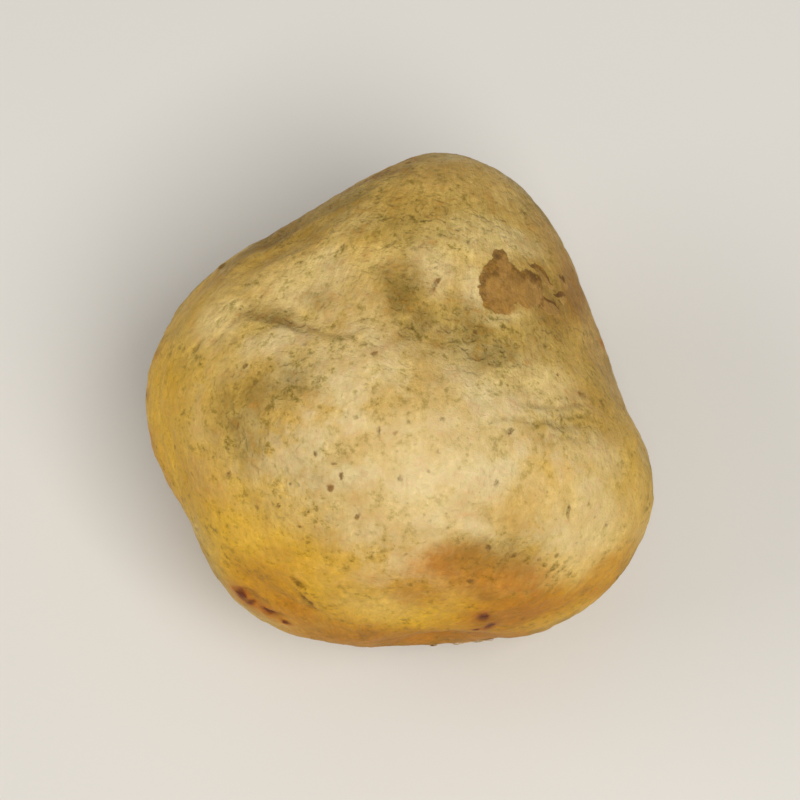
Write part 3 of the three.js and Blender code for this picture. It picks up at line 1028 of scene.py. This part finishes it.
# %% [markdown]
# Soil sticks round the scar as crumbs of all sizes, most of them tiny, that sit a little way
# into the skin. Hundreds of bits can't be placed by hand, so a tree scatters points over the
# skin at a least distance from each other, in clumps and only out of the viewer's sight, and
# puts a small, squashed and roughened ball on each.

# %% Soil crumbs
# Millimetres, and crumbs for each square millimetre
CRUMBS = {
    "Reach": 10.0, "Nearest": 0.3, "Per Area": 3.0, "Smallest": 0.05, "Largest": 0.24,
    "Seed": 5,
}
CRUMB_SUNK = 0.35
CRUMB_SHAPE = (1.0, 0.8, 0.65)
CRUMB_ROUGHNESS = 0.16
SCATTER_SEED = 3

# Radians
FULL_TURN = 6.28

# The higher it is, the rarer are the large crumbs
MOSTLY_SMALL = 2.5

# Places are tried at several times the wanted density, and only one in as many is kept
TRIES = 4

# Where crumbs start and are full: in the clumps, past the scar's floor, above the table and
# out of the viewer's sight
CLUMP_SIZE, CLUMPS = 2.5, (0.48, 0.62)
PAST_THE_FLOOR = (-3.5, -0.4)
ABOVE_THE_TABLE = (0.6, 1.2)
OUT_OF_SIGHT = (-0.12, -0.22)


def crumb_density(m, size):
    place = here_in_mm(m)
    clump = m.step(m.noise(place, CLUMP_SIZE, 2, seed=size["Seed"]), *CLUMPS)
    scar_out = stored(m, "scar_out")
    near_scar = m.step(scar_out, size["Reach"], 0) * m.step(scar_out, *PAST_THE_FLOOR) * clump
    off_the_floor = m.step(m.dot(place, (0, 0, 1)), *ABOVE_THE_TABLE)
    below = m.step(m.dot(stored(m, "way", "FLOAT_VECTOR"), view_back), *OUT_OF_SIGHT)
    return near_scar * below * off_the_floor * (1 / TRIES)


def crumb_tree(name, sizes, material):
    m, size = new_tree(name, sizes, takes_mesh=True)
    sockets = {
        "Mesh": size["Mesh"],
        "Distance Min": size["Nearest"] * MM,
        "Density Max": size["Per Area"] / (MM * MM) * TRIES,
        "Density Factor": crumb_density(m, size),
        "Seed": SCATTER_SEED,
    }
    scattered = m.node("GeometryNodeDistributePointsOnFaces",
                       {"distribute_method": "POISSON"}, sockets)
    number = m.wire("GeometryNodeInputIndex")
    chance = random(m, 0, 1, number, 6)
    spread = size["Largest"] - size["Smallest"]
    radius = (chance ** MOSTLY_SMALL * spread + size["Smallest"]) * MM
    out = m.vector("SCALE", Wire(m, scattered.outputs["Normal"]), radius * (1 - 2 * CRUMB_SUNK))
    points = shifted(m, Wire(m, scattered.outputs["Points"]), out)

    grain = m.wire("GeometryNodeMeshIcoSphere", None, {"Radius": 1.0, "Subdivisions": 2})
    spin = m.wire("FunctionNodeRandomValue", {"data_type": "FLOAT_VECTOR"},
                  {"Max": (FULL_TURN, FULL_TURN, FULL_TURN), "ID": number})
    shape = m.vector("MULTIPLY", combined(m, radius, radius, radius), CRUMB_SHAPE)
    sockets = {"Points": points, "Instance": grain, "Rotation": spin, "Scale": shape}
    grains = m.wire("GeometryNodeInstanceOnPoints", None, sockets)
    grains = m.wire("GeometryNodeRealizeInstances", None, {"Geometry": grains})
    rough = m.noise(here_in_mm(m), CRUMB_ROUGHNESS, 2, out=1)
    rough = m.vector("SUBTRACT", rough, (0.5, 0.5, 0.5))
    rough = m.vector("SCALE", rough, CRUMB_ROUGHNESS * MM)
    return end_tree(m, shifted(m, grains, rough), material)


# %% [markdown]
# Each tree takes a copy of the bulb's mesh to lay its bits on and gives back only the bits, so
# the bulb stays as it is. The copy brings the skin's material along, so the list of materials
# is cleared and then holds the bits' own finish alone.

# %% Grow what clings to the bulb
CLINGING = {
    "root_threads": (strip_tree, THREADS, "root thread"),
    "straw_shreds": (strip_tree, SHREDS, "rotted straw"),
    "soil_crumbs": (crumb_tree, CRUMBS, "soil crumb"),
}

finishes = {}
for name, (tree, sizes, finish_name) in CLINGING.items():
    finish = bpy.data.materials.new(finish_name)
    piece = grow(name, tree(name.replace("_", " "), sizes, finish), sizes, bulb.data.copy())
    piece.data.materials.clear()
    piece.data.materials.append(finish)
    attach(piece, BODY)
    finishes[name] = finish


# %% [markdown]
# Skin colours are judged on the mushroom and written as ordinary screen values, which the
# helper turns into the linear light that shaders work in. Buff is the ground colour. The crown
# is a duller olive, the belly is cream, the sides are painted ochre as shade where the skin
# turns away from the viewer, and the base is stained golden to rust by the bed it grew in.

# %% Colours
def screen(red, green, blue):
    def linear(value):
        share = value / 255
        return share / 12.92 if share <= 0.04045 else ((share + 0.055) / 1.055) ** 2.4

    return (linear(red), linear(green), linear(blue), 1)


CREAM = screen(220, 196, 138)
PALE = screen(234, 214, 158)
BUFF = screen(208, 170, 92)
LIMB_SHADE_OCHRE = screen(208, 167, 58)
OLIVE = screen(208, 174, 96)
GOLDEN = screen(226, 174, 42)
RUST = screen(172, 96, 24)
BROWN = screen(142, 94, 38)
GREY = screen(128, 108, 36)
SMUDGE_AND_CREASE_SHADE = screen(90, 68, 24)
BRUISED = screen(171, 128, 65)
BRUISE_RIM = screen(108, 70, 26)
DRIED = screen(216, 172, 98)
SOIL = screen(60, 32, 16)
TAN = screen(190, 148, 62)
DUN = screen(210, 180, 120)
SCORCH = screen(88, 34, 10)
STRAW = screen(236, 204, 122)
AMBER = screen(200, 138, 20)
FLESH = screen(234, 212, 160)

# Pale flecks multiply the colour under them by this
LIGHTER = (1.28, 1.36, 1.5, 1)
print("buff in linear light:", [round(channel, 3) for channel in BUFF[:3]])

# %% [markdown]
# A finish is a shader whose sockets are constants or are fed by patterns. A few helpers serve
# every finish: new_material starts one, attribute reads what a tree has stored, feed links the
# patterns to the shader, and pushed and cut shape the edges of layers.

# %% Helpers for finishes
def attribute(m, name, out="Fac"):
    return m.wire("ShaderNodeAttribute", {"attribute_name": name}, None, out)


def place_in_mm(m):
    coordinates = m.wire("ShaderNodeTexCoord", None, None, "Object")
    return m.vector("SCALE", coordinates, 1 / MM)


def new_material(material, constants):
    material.use_nodes = True
    material.node_tree.nodes.clear()
    m = Maker(material.node_tree)
    shader = m.node("ShaderNodeBsdfPrincipled", None, constants)
    m.node("ShaderNodeOutputMaterial", None, {"Surface": Wire(m, shader.outputs["BSDF"])})
    return m, shader


def feed(m, shader, **sockets):
    for name, value in sockets.items():
        m.tree.links.new(value.socket, shader.inputs[name.replace("_", " ")])


def pushed(m, value, pattern, reach, start, end):
    """A smooth step whose edge a pattern pushes to and fro, so that no border runs straight."""
    return m.step(value + (pattern - 0.5) * reach, start, end)


def cut(m, value, level, soft):
    """A smooth step round a level."""
    return m.step(value, level - soft, level + soft)


# %% [markdown]
# The skin is painted from the ground up, the way a still life is. First comes what every
# layer shares: places on the skin, plain ones and ones stretched along the silky fibres that
# run from crown to base, and the noises of every size that break up each layer. Where two
# noises are added, their shares come with them, so the sum stays around a half.

# %% Places and patterns on the skin
CLOUD_SIZE, BLOTCH_SIZE, PATCH_SIZE, MOTTLE_SIZE, FINE_SIZE = 6, 5, 3.4, 2.2, 0.7
STRAND_SIZE, STRAND_LENGTH = 0.3, 3.2
FLECK_SIZE, FLECK_LENGTH = 0.6, 1.1
DARK_FLECKS, LIGHT_FLECKS = (0.455, 0.635), (0.525, 0.365)

m, shader = new_material(skin, {
    "Subsurface Weight": 0.12,
    "Subsurface Radius": (1.0, 0.5, 0.2),
    "Subsurface Scale": 0.0012,
    "Specular IOR Level": 0.14,
})
place = place_in_mm(m)
fibre = attribute(m, "fibre", "Vector")
scar_out = attribute(m, "scar_out")
tan, grey, golden, calm = [attribute(m, name) for name in ("tan", "grey", "golden", "calm")]

cloud = m.noise(place, CLOUD_SIZE, 3)
blotch = m.noise(place, BLOTCH_SIZE, 4, 0.6)
patches = m.noise(place, PATCH_SIZE, 3, 0.6)
mottle = m.noise(place, MOTTLE_SIZE, 5, 0.65)
fine = m.noise(place, FINE_SIZE, 4, 0.7)
strands = m.noise(along_fibres(m, fibre, STRAND_SIZE, STRAND_LENGTH), STRAND_SIZE, 2, 0.6)
flecks = m.noise(along_fibres(m, fibre, FLECK_SIZE, FLECK_LENGTH), FLECK_SIZE, 3, 0.65)

coarse = patches * 0.6 + mottle * 0.4
even_mix = fine * 0.5 + mottle * 0.5
mixed = flecks * 0.15 + fine * 0.4 + mottle * 0.45
dark_flecks = m.step(mixed, *DARK_FLECKS)
light_flecks = m.step(mixed, *LIGHT_FLECKS)

# %% [markdown]
# The ground: buff and cream clouds, ochre painted as shade where the skin turns away from the
# belly, olive on the crown, golden towards the base. The turn from one to the next is pushed
# about by the mottle, so that no border runs straight.

# %% Ground colour
# Each pair is where a colour starts and where it is full: cream in the coarse pattern, the
# ochre painted shade and the hidden side by how squarely the skin faces the viewer, the crown
# in degrees from its middle, and the base in mm from the scar
CREAM_RANGE = (0.42, 0.57)
OCHRE_RANGE, HIDDEN_RANGE = (0.92, 0.4), (0.45, 0.05)
CROWN_RANGE, CROWN_PUSH = (112, 40), 70
BASE_RANGE, BASE_PUSH = (16, 2), 14
OCHRE_SHARE, OLIVE_SHARE = 0.85, 0.8

belly_facing = m.dot(attribute(m, "way", "Vector"), view_back)
painted_limb_shade = pushed(m, belly_facing, mottle, 0.5, *OCHRE_RANGE)
hidden = m.step(belly_facing, *HIDDEN_RANGE)
crown_mask = pushed(m, attribute(m, "crown_away"), mottle, CROWN_PUSH, *CROWN_RANGE)
base_mask = pushed(m, scar_out, mottle, BASE_PUSH, *BASE_RANGE)

colour = m.mix(m.step(coarse, *CREAM_RANGE), BUFF, CREAM)
# Painted shade: the sides turn ochre as the skin turns away from the viewer
colour = m.mix(painted_limb_shade * OCHRE_SHARE, colour, LIMB_SHADE_OCHRE)
colour = m.mix(crown_mask * OLIVE_SHARE, colour, OLIVE)
colour = m.mix(base_mask * (0.35 + dark_flecks * 0.3), colour, GOLDEN)
colour = m.mix(hidden * (0.4 + patches * 0.4), colour, DUN)

# %% [markdown]
# The soft marks go over the ground. Each kind has a recipe: its colour, how much of it is
# even, and how much shows only where the skin's own flecks break it up. Places that the
# viewer can't see get stains too, from slow noise with a threshold, because a mushroom that
# has been picked and rolled about carries them on every side.

# %% Stains
# colour, even share, share in flecks
RECIPES = {
    "golden": (GOLDEN, 0.75, 0.1),
    "pale": (PALE, 0.57, -0.05),
    "straw": (STRAW, 0.55, -0.05),
    "tan": (TAN, 0.55, 0.1),
    "amber": (AMBER, 0.8, 0.2),
    "brown": (BROWN, 0.7, 0.25),
    "rust": (RUST, 0.44, 0.5),
    "grey": (GREY, 0.32, 0.5),
    "smudge": (SMUDGE_AND_CREASE_SHADE, 0.35, 0.55),
}

# pattern, how far the mottle pushes its edge, where the stain starts, where it is full
HIDDEN_STAINS = {
    "pale": (blotch, 0, 0.44, 0.3),
    "grey": (cloud, 0.4, 0.52, 0.66),
    "rust": (blotch, 0.3, 0.55, 0.68),
}

for kind, (paint, even, in_flecks) in RECIPES.items():
    mask = attribute(m, kind)
    if kind in HIDDEN_STAINS:
        pattern, push, start, end = HIDDEN_STAINS[kind]
        mask = mask.at_least(pushed(m, pattern, mottle, push, start, end) * hidden)
    colour = m.mix(mask * (dark_flecks * in_flecks + even), colour, paint)
print("painted", len(RECIPES), "kinds of stain")

# %% [markdown]
# A fresh bruise has a crisp, ragged edge, a darker rim where the juice has dried, and a
# lighter middle that flakes. The mesh is too coarse to carry such an edge, but a value that
# rises slowly towards the middle of a mark survives on it. So the tree stores that value,
# and the material cuts it off at a half, pushed about by its finest noise. Bruises on the
# sides that the viewer can't see are cut out of slow noise in the same way.

# %% Bruises
# How soft a bruise's edge is, and the level of slow noise at which a hidden one is cut
WHOLE_BRUISE, INNER_BRUISE = (0.05, 0.67), (0.15, 0.7)
MARK_LEVEL = 0.5
RIM_SHARE, MIDDLE_SHARE = 0.88, 0.95
DRIED_SIZE, DRIED_RANGE = 1.3, (0.42, 0.58)

ragged = (mottle - 0.5) * 0.5 + (fine - 0.5) * 0.5


def bruise_mask(m, name, soft, level):
    on_the_far_side = cut(m, blotch + ragged * 0.08, level, soft * 0.2) * hidden
    return cut(m, attribute(m, name) + ragged, MARK_LEVEL, soft).at_least(on_the_far_side)


whole_bruise = bruise_mask(m, "bruise", *WHOLE_BRUISE)
inner_bruise = bruise_mask(m, "bruise middle", *INNER_BRUISE)
dried = pushed(m, m.noise(place, DRIED_SIZE, 3, 0.6), fine, 0.3, *DRIED_RANGE)
colour = m.mix(whole_bruise * RIM_SHARE, colour, BRUISE_RIM)
colour = m.mix(inner_bruise * (MIDDLE_SHARE - dried * 0.75), colour, BRUISED)
colour = m.mix(inner_bruise * (light_flecks * 0.4 + tan * 0.35), colour, DRIED)

# %% [markdown]
# Over that lies what makes skin look like skin from close by. Olive-brown flecks crowd
# towards the crown and in the grey patches and thin out where the skin is calm, pale flecks
# lie between them, and pepper gathers in clumps. Each is weak by itself.

# %% Flecks and pepper
FLECK_SHARE, CROWN_MORE, GREY_MORE, CALM_LESS = 0.5, 0.16, 0.2, 0.24
LIGHT_BOOST, GLINT_RANGE, GLINT_SHARE = 1.2, (0.55, 0.68), 0.4
PEPPER_RANGE, CLUMP_RANGE = (0.51, 0.39), (0.53, 0.45)
PEPPER_CLUMPED, PEPPER_SPREAD, PEPPER_LEAST = 0.32, 0.06, 0.04

unbruised = 1 - whole_bruise
crowding = FLECK_SHARE + crown_mask * CROWN_MORE + grey * GREY_MORE - calm * CALM_LESS
colour = m.mix(dark_flecks * crowding, colour, GREY)
light_share = light_flecks * unbruised * crowding * LIGHT_BOOST
colour = m.mix(light_share, colour, LIGHTER, "MULTIPLY")

pepper = m.step(fine * 0.75 + flecks * 0.25, *PEPPER_RANGE) * unbruised
clumps = m.step(coarse, *CLUMP_RANGE) * PEPPER_CLUMPED + PEPPER_SPREAD
clumps = clumps + grey * 0.3 - calm * 0.2 - golden * 0.14
colour = m.mix(pepper * clumps.at_least(PEPPER_LEAST), colour, GREY)
# Glints are painted highlights: tiny spots lightened in the colour itself
glints = m.step(fine, *GLINT_RANGE) * unbruised
colour = m.mix(glints * GLINT_SHARE, colour, LIGHTER, "MULTIPLY")

# %% [markdown]
# Two kinds of dot and many short curling lines come next. A dot is the middle of a cell in a
# random pattern, with a size drawn for each. A curling line is the middle level of a slow
# noise, which is the cheapest way to get lines that wind and never cross.

# %% Dots and curling lines
# spacing, smallest and largest radius in mm, and the share of cells that have a dot
SPECKLE, FRECKLE = (0.8, 0.05, 0.2, 0.5), (1.9, 0.12, 0.34, 0.5)
DOT_EDGE = (1.2, 0.4)
WORM_SIZE, WORM_WIDTH, WORM_SHARE = 0.9, 0.16, 0.2
WORM_PIECES, WORMS_APART = (0.46, 0.6), (31, 17, 5)
WORM_RANGE, FRECKLE_RANGE = (0.42, 0.6), (0.38, 0.6)


def dots(m, place, spacing, smallest, largest, share):
    """Round dots, one in each chosen cell of a random pattern, with random sizes."""
    cells = m.node("ShaderNodeTexVoronoi", None, {"Vector": place, "Scale": 1 / spacing})
    drawn = Wire(m, cells.outputs["Color"])
    radius = m.dot(drawn, (0, 1, 0)) * (largest - smallest) + smallest
    distance = Wire(m, cells.outputs["Distance"]) * spacing + ragged * 0.25
    chosen = m.maths("LESS_THAN", m.dot(drawn, (1, 0, 0)), share)
    return m.step(distance / radius, *DOT_EDGE) * chosen


def worms(m, place, size, width):
    """Short curling lines: the middle level of one noise, cut to pieces by another."""
    level = m.maths("ABSOLUTE", m.noise(place, size, 1) - 0.5)
    pieces = m.noise(m.vector("ADD", place, WORMS_APART), size * 0.8, 1)
    return m.step(level, width, 0) * m.step(pieces, *WORM_PIECES)


worm_crowd = m.step(patches, *WORM_RANGE) * 0.35 + grey * 0.6 + crown_mask * 0.2
worm_lines = worms(m, place, WORM_SIZE, WORM_WIDTH) * worm_crowd.at_most(1)
colour = m.mix(worm_lines * WORM_SHARE, colour, SMUDGE_AND_CREASE_SHADE)

wandering = m.vector("ADD", place, combined(m, fine, mottle, patches))
speckles = dots(m, wandering, *SPECKLE) * 0.3
freckles = dots(m, wandering, *FRECKLE) * (m.step(mottle, *FRECKLE_RANGE) * (0.45 + grey * 0.4))
colour = m.mix(speckles + freckles, colour, SMUDGE_AND_CREASE_SHADE)

# %% [markdown]
# The dark lines in the wrinkles are painted shade in their grooves. They, the soil specks and
# the scorches are cut out of the values that the tree stored. A scorch on the base is a dark
# red spot that has burnt into the skin, with a rusty halo where it fades out.

# %% Wrinkle lines, specks and scorches
WRINKLE_RANGE, WRINKLE_BREAKS, WRINKLE_SHARE = (0.02, 0.26), (0.32, 0.6), 0.6
SPECK_SOFT, SPECK_BREAKS = 0.3, (0.4, 0.6)
HALO_RANGE, SCORCH_LEVEL, SCORCH_SOFT, SCORCH_BREAKS = (-0.1, 0.45), 0.56, 0.3, (0.4, 0.56)

# Painted shade: each wrinkle's groove darkens to a thin line
painted_crease_shade = m.step(attribute(m, "wrinkle"), *WRINKLE_RANGE) * m.step(fine, *WRINKLE_BREAKS)
colour = m.mix(painted_crease_shade * WRINKLE_SHARE, colour, SMUDGE_AND_CREASE_SHADE)

specks = cut(m, attribute(m, "speck") + ragged * 1.2, MARK_LEVEL, SPECK_SOFT)
colour = m.mix(specks * (0.3 + m.step(fine, *SPECK_BREAKS) * 0.55), colour, SMUDGE_AND_CREASE_SHADE)

scorch = attribute(m, "scorch") + ragged
colour = m.mix(m.step(scorch, *HALO_RANGE) * (0.55 + dark_flecks * 0.3), colour, RUST)
scorches = cut(m, scorch, SCORCH_LEVEL, SCORCH_SOFT)
colour = m.mix(scorches * (0.7 + m.step(fine, *SCORCH_BREAKS) * 0.25), colour, SCORCH)

# %% [markdown]
# The root scar is torn flesh: pale, fibrous along its spokes, with brown painted shade in its
# hollows, a dark ragged rim where soil has caught, and soil rubbed into the skin around it.

# %% The scar's colours
# Where each part starts and is full: in mm past the scar's edge, or in its own pattern
TORN_FLESH, RIM_OUTSIDE, RIM_INSIDE = (0.25, -0.25), (1.3, 0.1), (-0.8, -0.1)
FIBRES_FROM_MIDDLE, BELOW = (0.6, 2.6), (0.0, -0.2)
FIBRE_STRETCH, FIBRE_SIZE = (7, 7, 0.9), 0.8
HOLLOWS, FLESH_RANGE, DARK_FLESH = (0.15, -0.3), (0.42, 0.56), (0.52, 0.8)
FILM_RANGE, FILM_PUSH, FILM_BREAKS, FILM_SHARE = (3.2, 0.2), 7, (0.42, 0.56), 0.5
SOIL_RANGE, SOIL_PUSH, SOIL_BREAKS, SOIL_SHARE = (8, 1), 10, (0.5, 0.6), 0.55

spoke = attribute(m, "spoke", "Vector")
torn = pushed(m, scar_out, fine, 1.2, *TORN_FLESH)
below = m.step(belly_facing, *BELOW)

# Near the scar's middle the spokes crowd together, so plain noise takes the fibres' place
torn_fibres = m.noise(m.vector("MULTIPLY", spoke, FIBRE_STRETCH), FIBRE_SIZE, 3, 0.65)
spread_out = m.step(m.dot(spoke, (0, 0, 1)), *FIBRES_FROM_MIDDLE)
torn_fibres = torn_fibres * spread_out + fine * (1 - spread_out)
painted_hollow_shade = pushed(m, attribute(m, "tatter"), torn_fibres, 0.8, *HOLLOWS)
flesh = m.mix(m.step(torn_fibres * 0.5 + mottle * 0.5, *FLESH_RANGE), DUN, FLESH)
# Painted shade: the torn floor turns brown in its hollows, and darker flesh gathers there in part
flesh = m.mix(painted_hollow_shade * 0.75, flesh, BROWN)
flesh = m.mix(m.step(fine * 0.6 + painted_hollow_shade * 0.4, *DARK_FLESH) * 0.45, flesh, BRUISE_RIM)

film = pushed(m, scar_out, mottle, FILM_PUSH, *FILM_RANGE) * m.step(even_mix, *FILM_BREAKS)
colour = m.mix(film * below * FILM_SHARE, colour, FLESH)
colour = m.mix(torn * 0.95, colour, flesh)
rim = pushed(m, scar_out, fine, 1.6, *RIM_OUTSIDE) * m.step(scar_out, *RIM_INSIDE)
colour = m.mix(rim * (0.3 + dark_flecks * 0.5), colour, SMUDGE_AND_CREASE_SHADE)
rubbed = pushed(m, scar_out, cloud, SOIL_PUSH, *SOIL_RANGE) * m.step(even_mix, *SOIL_BREAKS)
colour = m.mix(rubbed * below * SOIL_SHARE, colour, SOIL)

# %% [markdown]
# Last come the depth of the colour, the shine and the finest relief. Mottling deepens the
# colour as pigment does, least in red and most in blue, so its dark side is warmer. The skin
# is satin where it is whole and dull where it is torn or soiled. The bump repeats the patterns
# that the colour has, so that light and colour tell the same story.

# %% Depth, shine and bump
# The mottling's strength and mean, and the powers that it acts with on red, green and blue
CONTRAST, CALM_CONTRAST, MEAN_SHADE = 1.75, 0.65, 1.09
RED_POWER, BLUE_POWER = 0.88, 1.5

silk = (strands - 0.5) * (0.05 + crown_mask * 0.12)
uneven = (fine - 0.5) * 1.12 + (mottle - 0.5) * 0.9 + (patches - 0.5) * 0.2 + silk
shade = uneven * (CONTRAST - calm * CALM_CONTRAST) + MEAN_SHADE
deeper = combined(m, shade ** RED_POWER, shade, shade ** BLUE_POWER)
colour = m.mix(1.0, colour, deeper, "MULTIPLY")

# Heights in mm
height = fine * 0.19 + mottle * 0.16 + silk * 0.3 + flecks * 0.04 - worm_lines * 0.12
height = height + torn_fibres * torn * 0.5
bump = m.wire("ShaderNodeBump", None, {"Strength": 1.0, "Distance": MM, "Height": height})
roughness = 0.46 + fine * 0.25 + torn * 0.2 + specks * 0.2
feed(m, shader, Base_Color=colour, Roughness=roughness, Normal=bump)
print("skin has", len(skin.node_tree.nodes), "nodes")

# %% [markdown]
# The clinging bits are small but not plain. Threads are cream with brown patches, rotted straw
# is blotched from tan to brown, and soil is dark with lighter, sandy grains. One recipe serves
# all three, and only its colours, grain and roughness differ.

# %% Finishes of threads, straw and soil
# dark and light colour, size of the grain in mm, its height in mm, roughness
BIT_FINISHES = {
    "root_threads": (screen(168, 128, 76), FLESH, 0.3, 0.05, 0.6),
    "straw_shreds": (screen(120, 84, 40), screen(202, 164, 92), 0.25, 0.08, 0.55),
    "soil_crumbs": (screen(46, 28, 15), screen(104, 74, 44), 0.12, 0.08, 0.85),
}

for name, (dark, light, size, bump_height, roughness) in BIT_FINISHES.items():
    m, shader = new_material(finishes[name], {"Specular IOR Level": 0.25})
    place = place_in_mm(m)
    patches = m.step(m.noise(place, size * 4, 3, 0.6), 0.4, 0.6)
    grain = m.noise(place, size, 3, 0.6)
    colour = m.mix(patches * 0.6 + grain * 0.4, dark, light)
    bump = m.wire("ShaderNodeBump", None, {"Distance": MM, "Height": grain * bump_height})
    feed(m, shader, Base_Color=colour, Roughness=roughness + grain * 0.2, Normal=bump)
    print(name, "finish has", len(m.tree.nodes), "nodes")


# %% [markdown]
# The studio is plain: a wide pale floor, a pale room, one large soft lamp above and to the
# right, and a weaker one to the left to open the shadow. A lamp's place is given as a
# direction, like a place on the bulb.

# %% Studio
FLOOR_HALF = 1.5
FLOOR_TONES, FLOOR_TONE_SIZE = (screen(226, 224, 219), screen(231, 229, 225)), 60
ROOM_COLOUR, ROOM_STRENGTH = (0.96, 0.95, 0.93, 1), 0.36

# azimuth, elevation, distance and size in metres, watts, colour
LAMPS = {
    "key lamp": (-60, 62, 0.6, 0.3, 2.1, (1.0, 0.97, 0.92)),
    "fill lamp": (185, 40, 0.8, 0.5, 1.3, (1.0, 0.97, 0.93)),
}

scene = bpy.context.scene


def placed(name, data):
    thing = bpy.data.objects.new(name, data)
    scene.collection.objects.link(thing)
    return thing


floor_mesh = bpy.data.meshes.new("floor")
edge = FLOOR_HALF
floor_mesh.from_pydata([(-edge, -edge, 0), (edge, -edge, 0), (edge, edge, 0), (-edge, edge, 0)],
                       [], [(0, 1, 2, 3)])
floor = placed("floor", floor_mesh)
floor_finish = bpy.data.materials.new("pale floor")
m, shader = new_material(floor_finish, {"Roughness": 0.8})
tone = m.noise(place_in_mm(m), FLOOR_TONE_SIZE, 2)
feed(m, shader, Base_Color=m.mix(tone, *FLOOR_TONES))
floor_mesh.materials.append(floor_finish)

for name, (azimuth, elevation, distance, size, power, colour) in LAMPS.items():
    lamp = bpy.data.lights.new(name, "AREA")
    lamp.size, lamp.energy, lamp.color = size, power, colour
    direction = towards(azimuth, elevation)
    light = placed(name, lamp)
    light.location = direction * distance
    light.rotation_euler = direction.to_track_quat("Z", "Y").to_euler()

scene.world = bpy.data.worlds.new("pale room")
scene.world.use_nodes = True
room = scene.world.node_tree.nodes["Background"]
room.inputs["Color"].default_value = ROOM_COLOUR
room.inputs["Strength"].default_value = ROOM_STRENGTH
scene.view_settings.view_transform = "Standard"

print("lamps:", ", ".join(LAMPS))

# %% [markdown]
# The camera looks down steeply, as one looks at food on a table. Its lens is long, so that the
# bulb's outline isn't swollen by nearness, and its distance follows from the share of the
# frame that the outline should fill.

# %% Camera
# Millimetres, a share of the frame's width, and metres
LENS = 180
SENSOR = 36
FRAME_SHARE = 0.63
CLIP_START = 0.01

camera_data = bpy.data.cameras.new("camera")
camera_data.lens = LENS
camera_data.sensor_width = SENSOR
camera_data.clip_start = CLIP_START
camera = placed("camera", camera_data)
distance = outline_size[0] / FRAME_SHARE * LENS / SENSOR
aim = view_right * outline_middle[0] + view_up * outline_middle[1] + view_back * middle_depth
camera.location = aim + view_back * distance
camera.rotation_euler = Matrix((view_right, view_up, view_back)).transposed().to_euler()
scene.camera = camera
print("camera is", round(distance, 3), "m away")
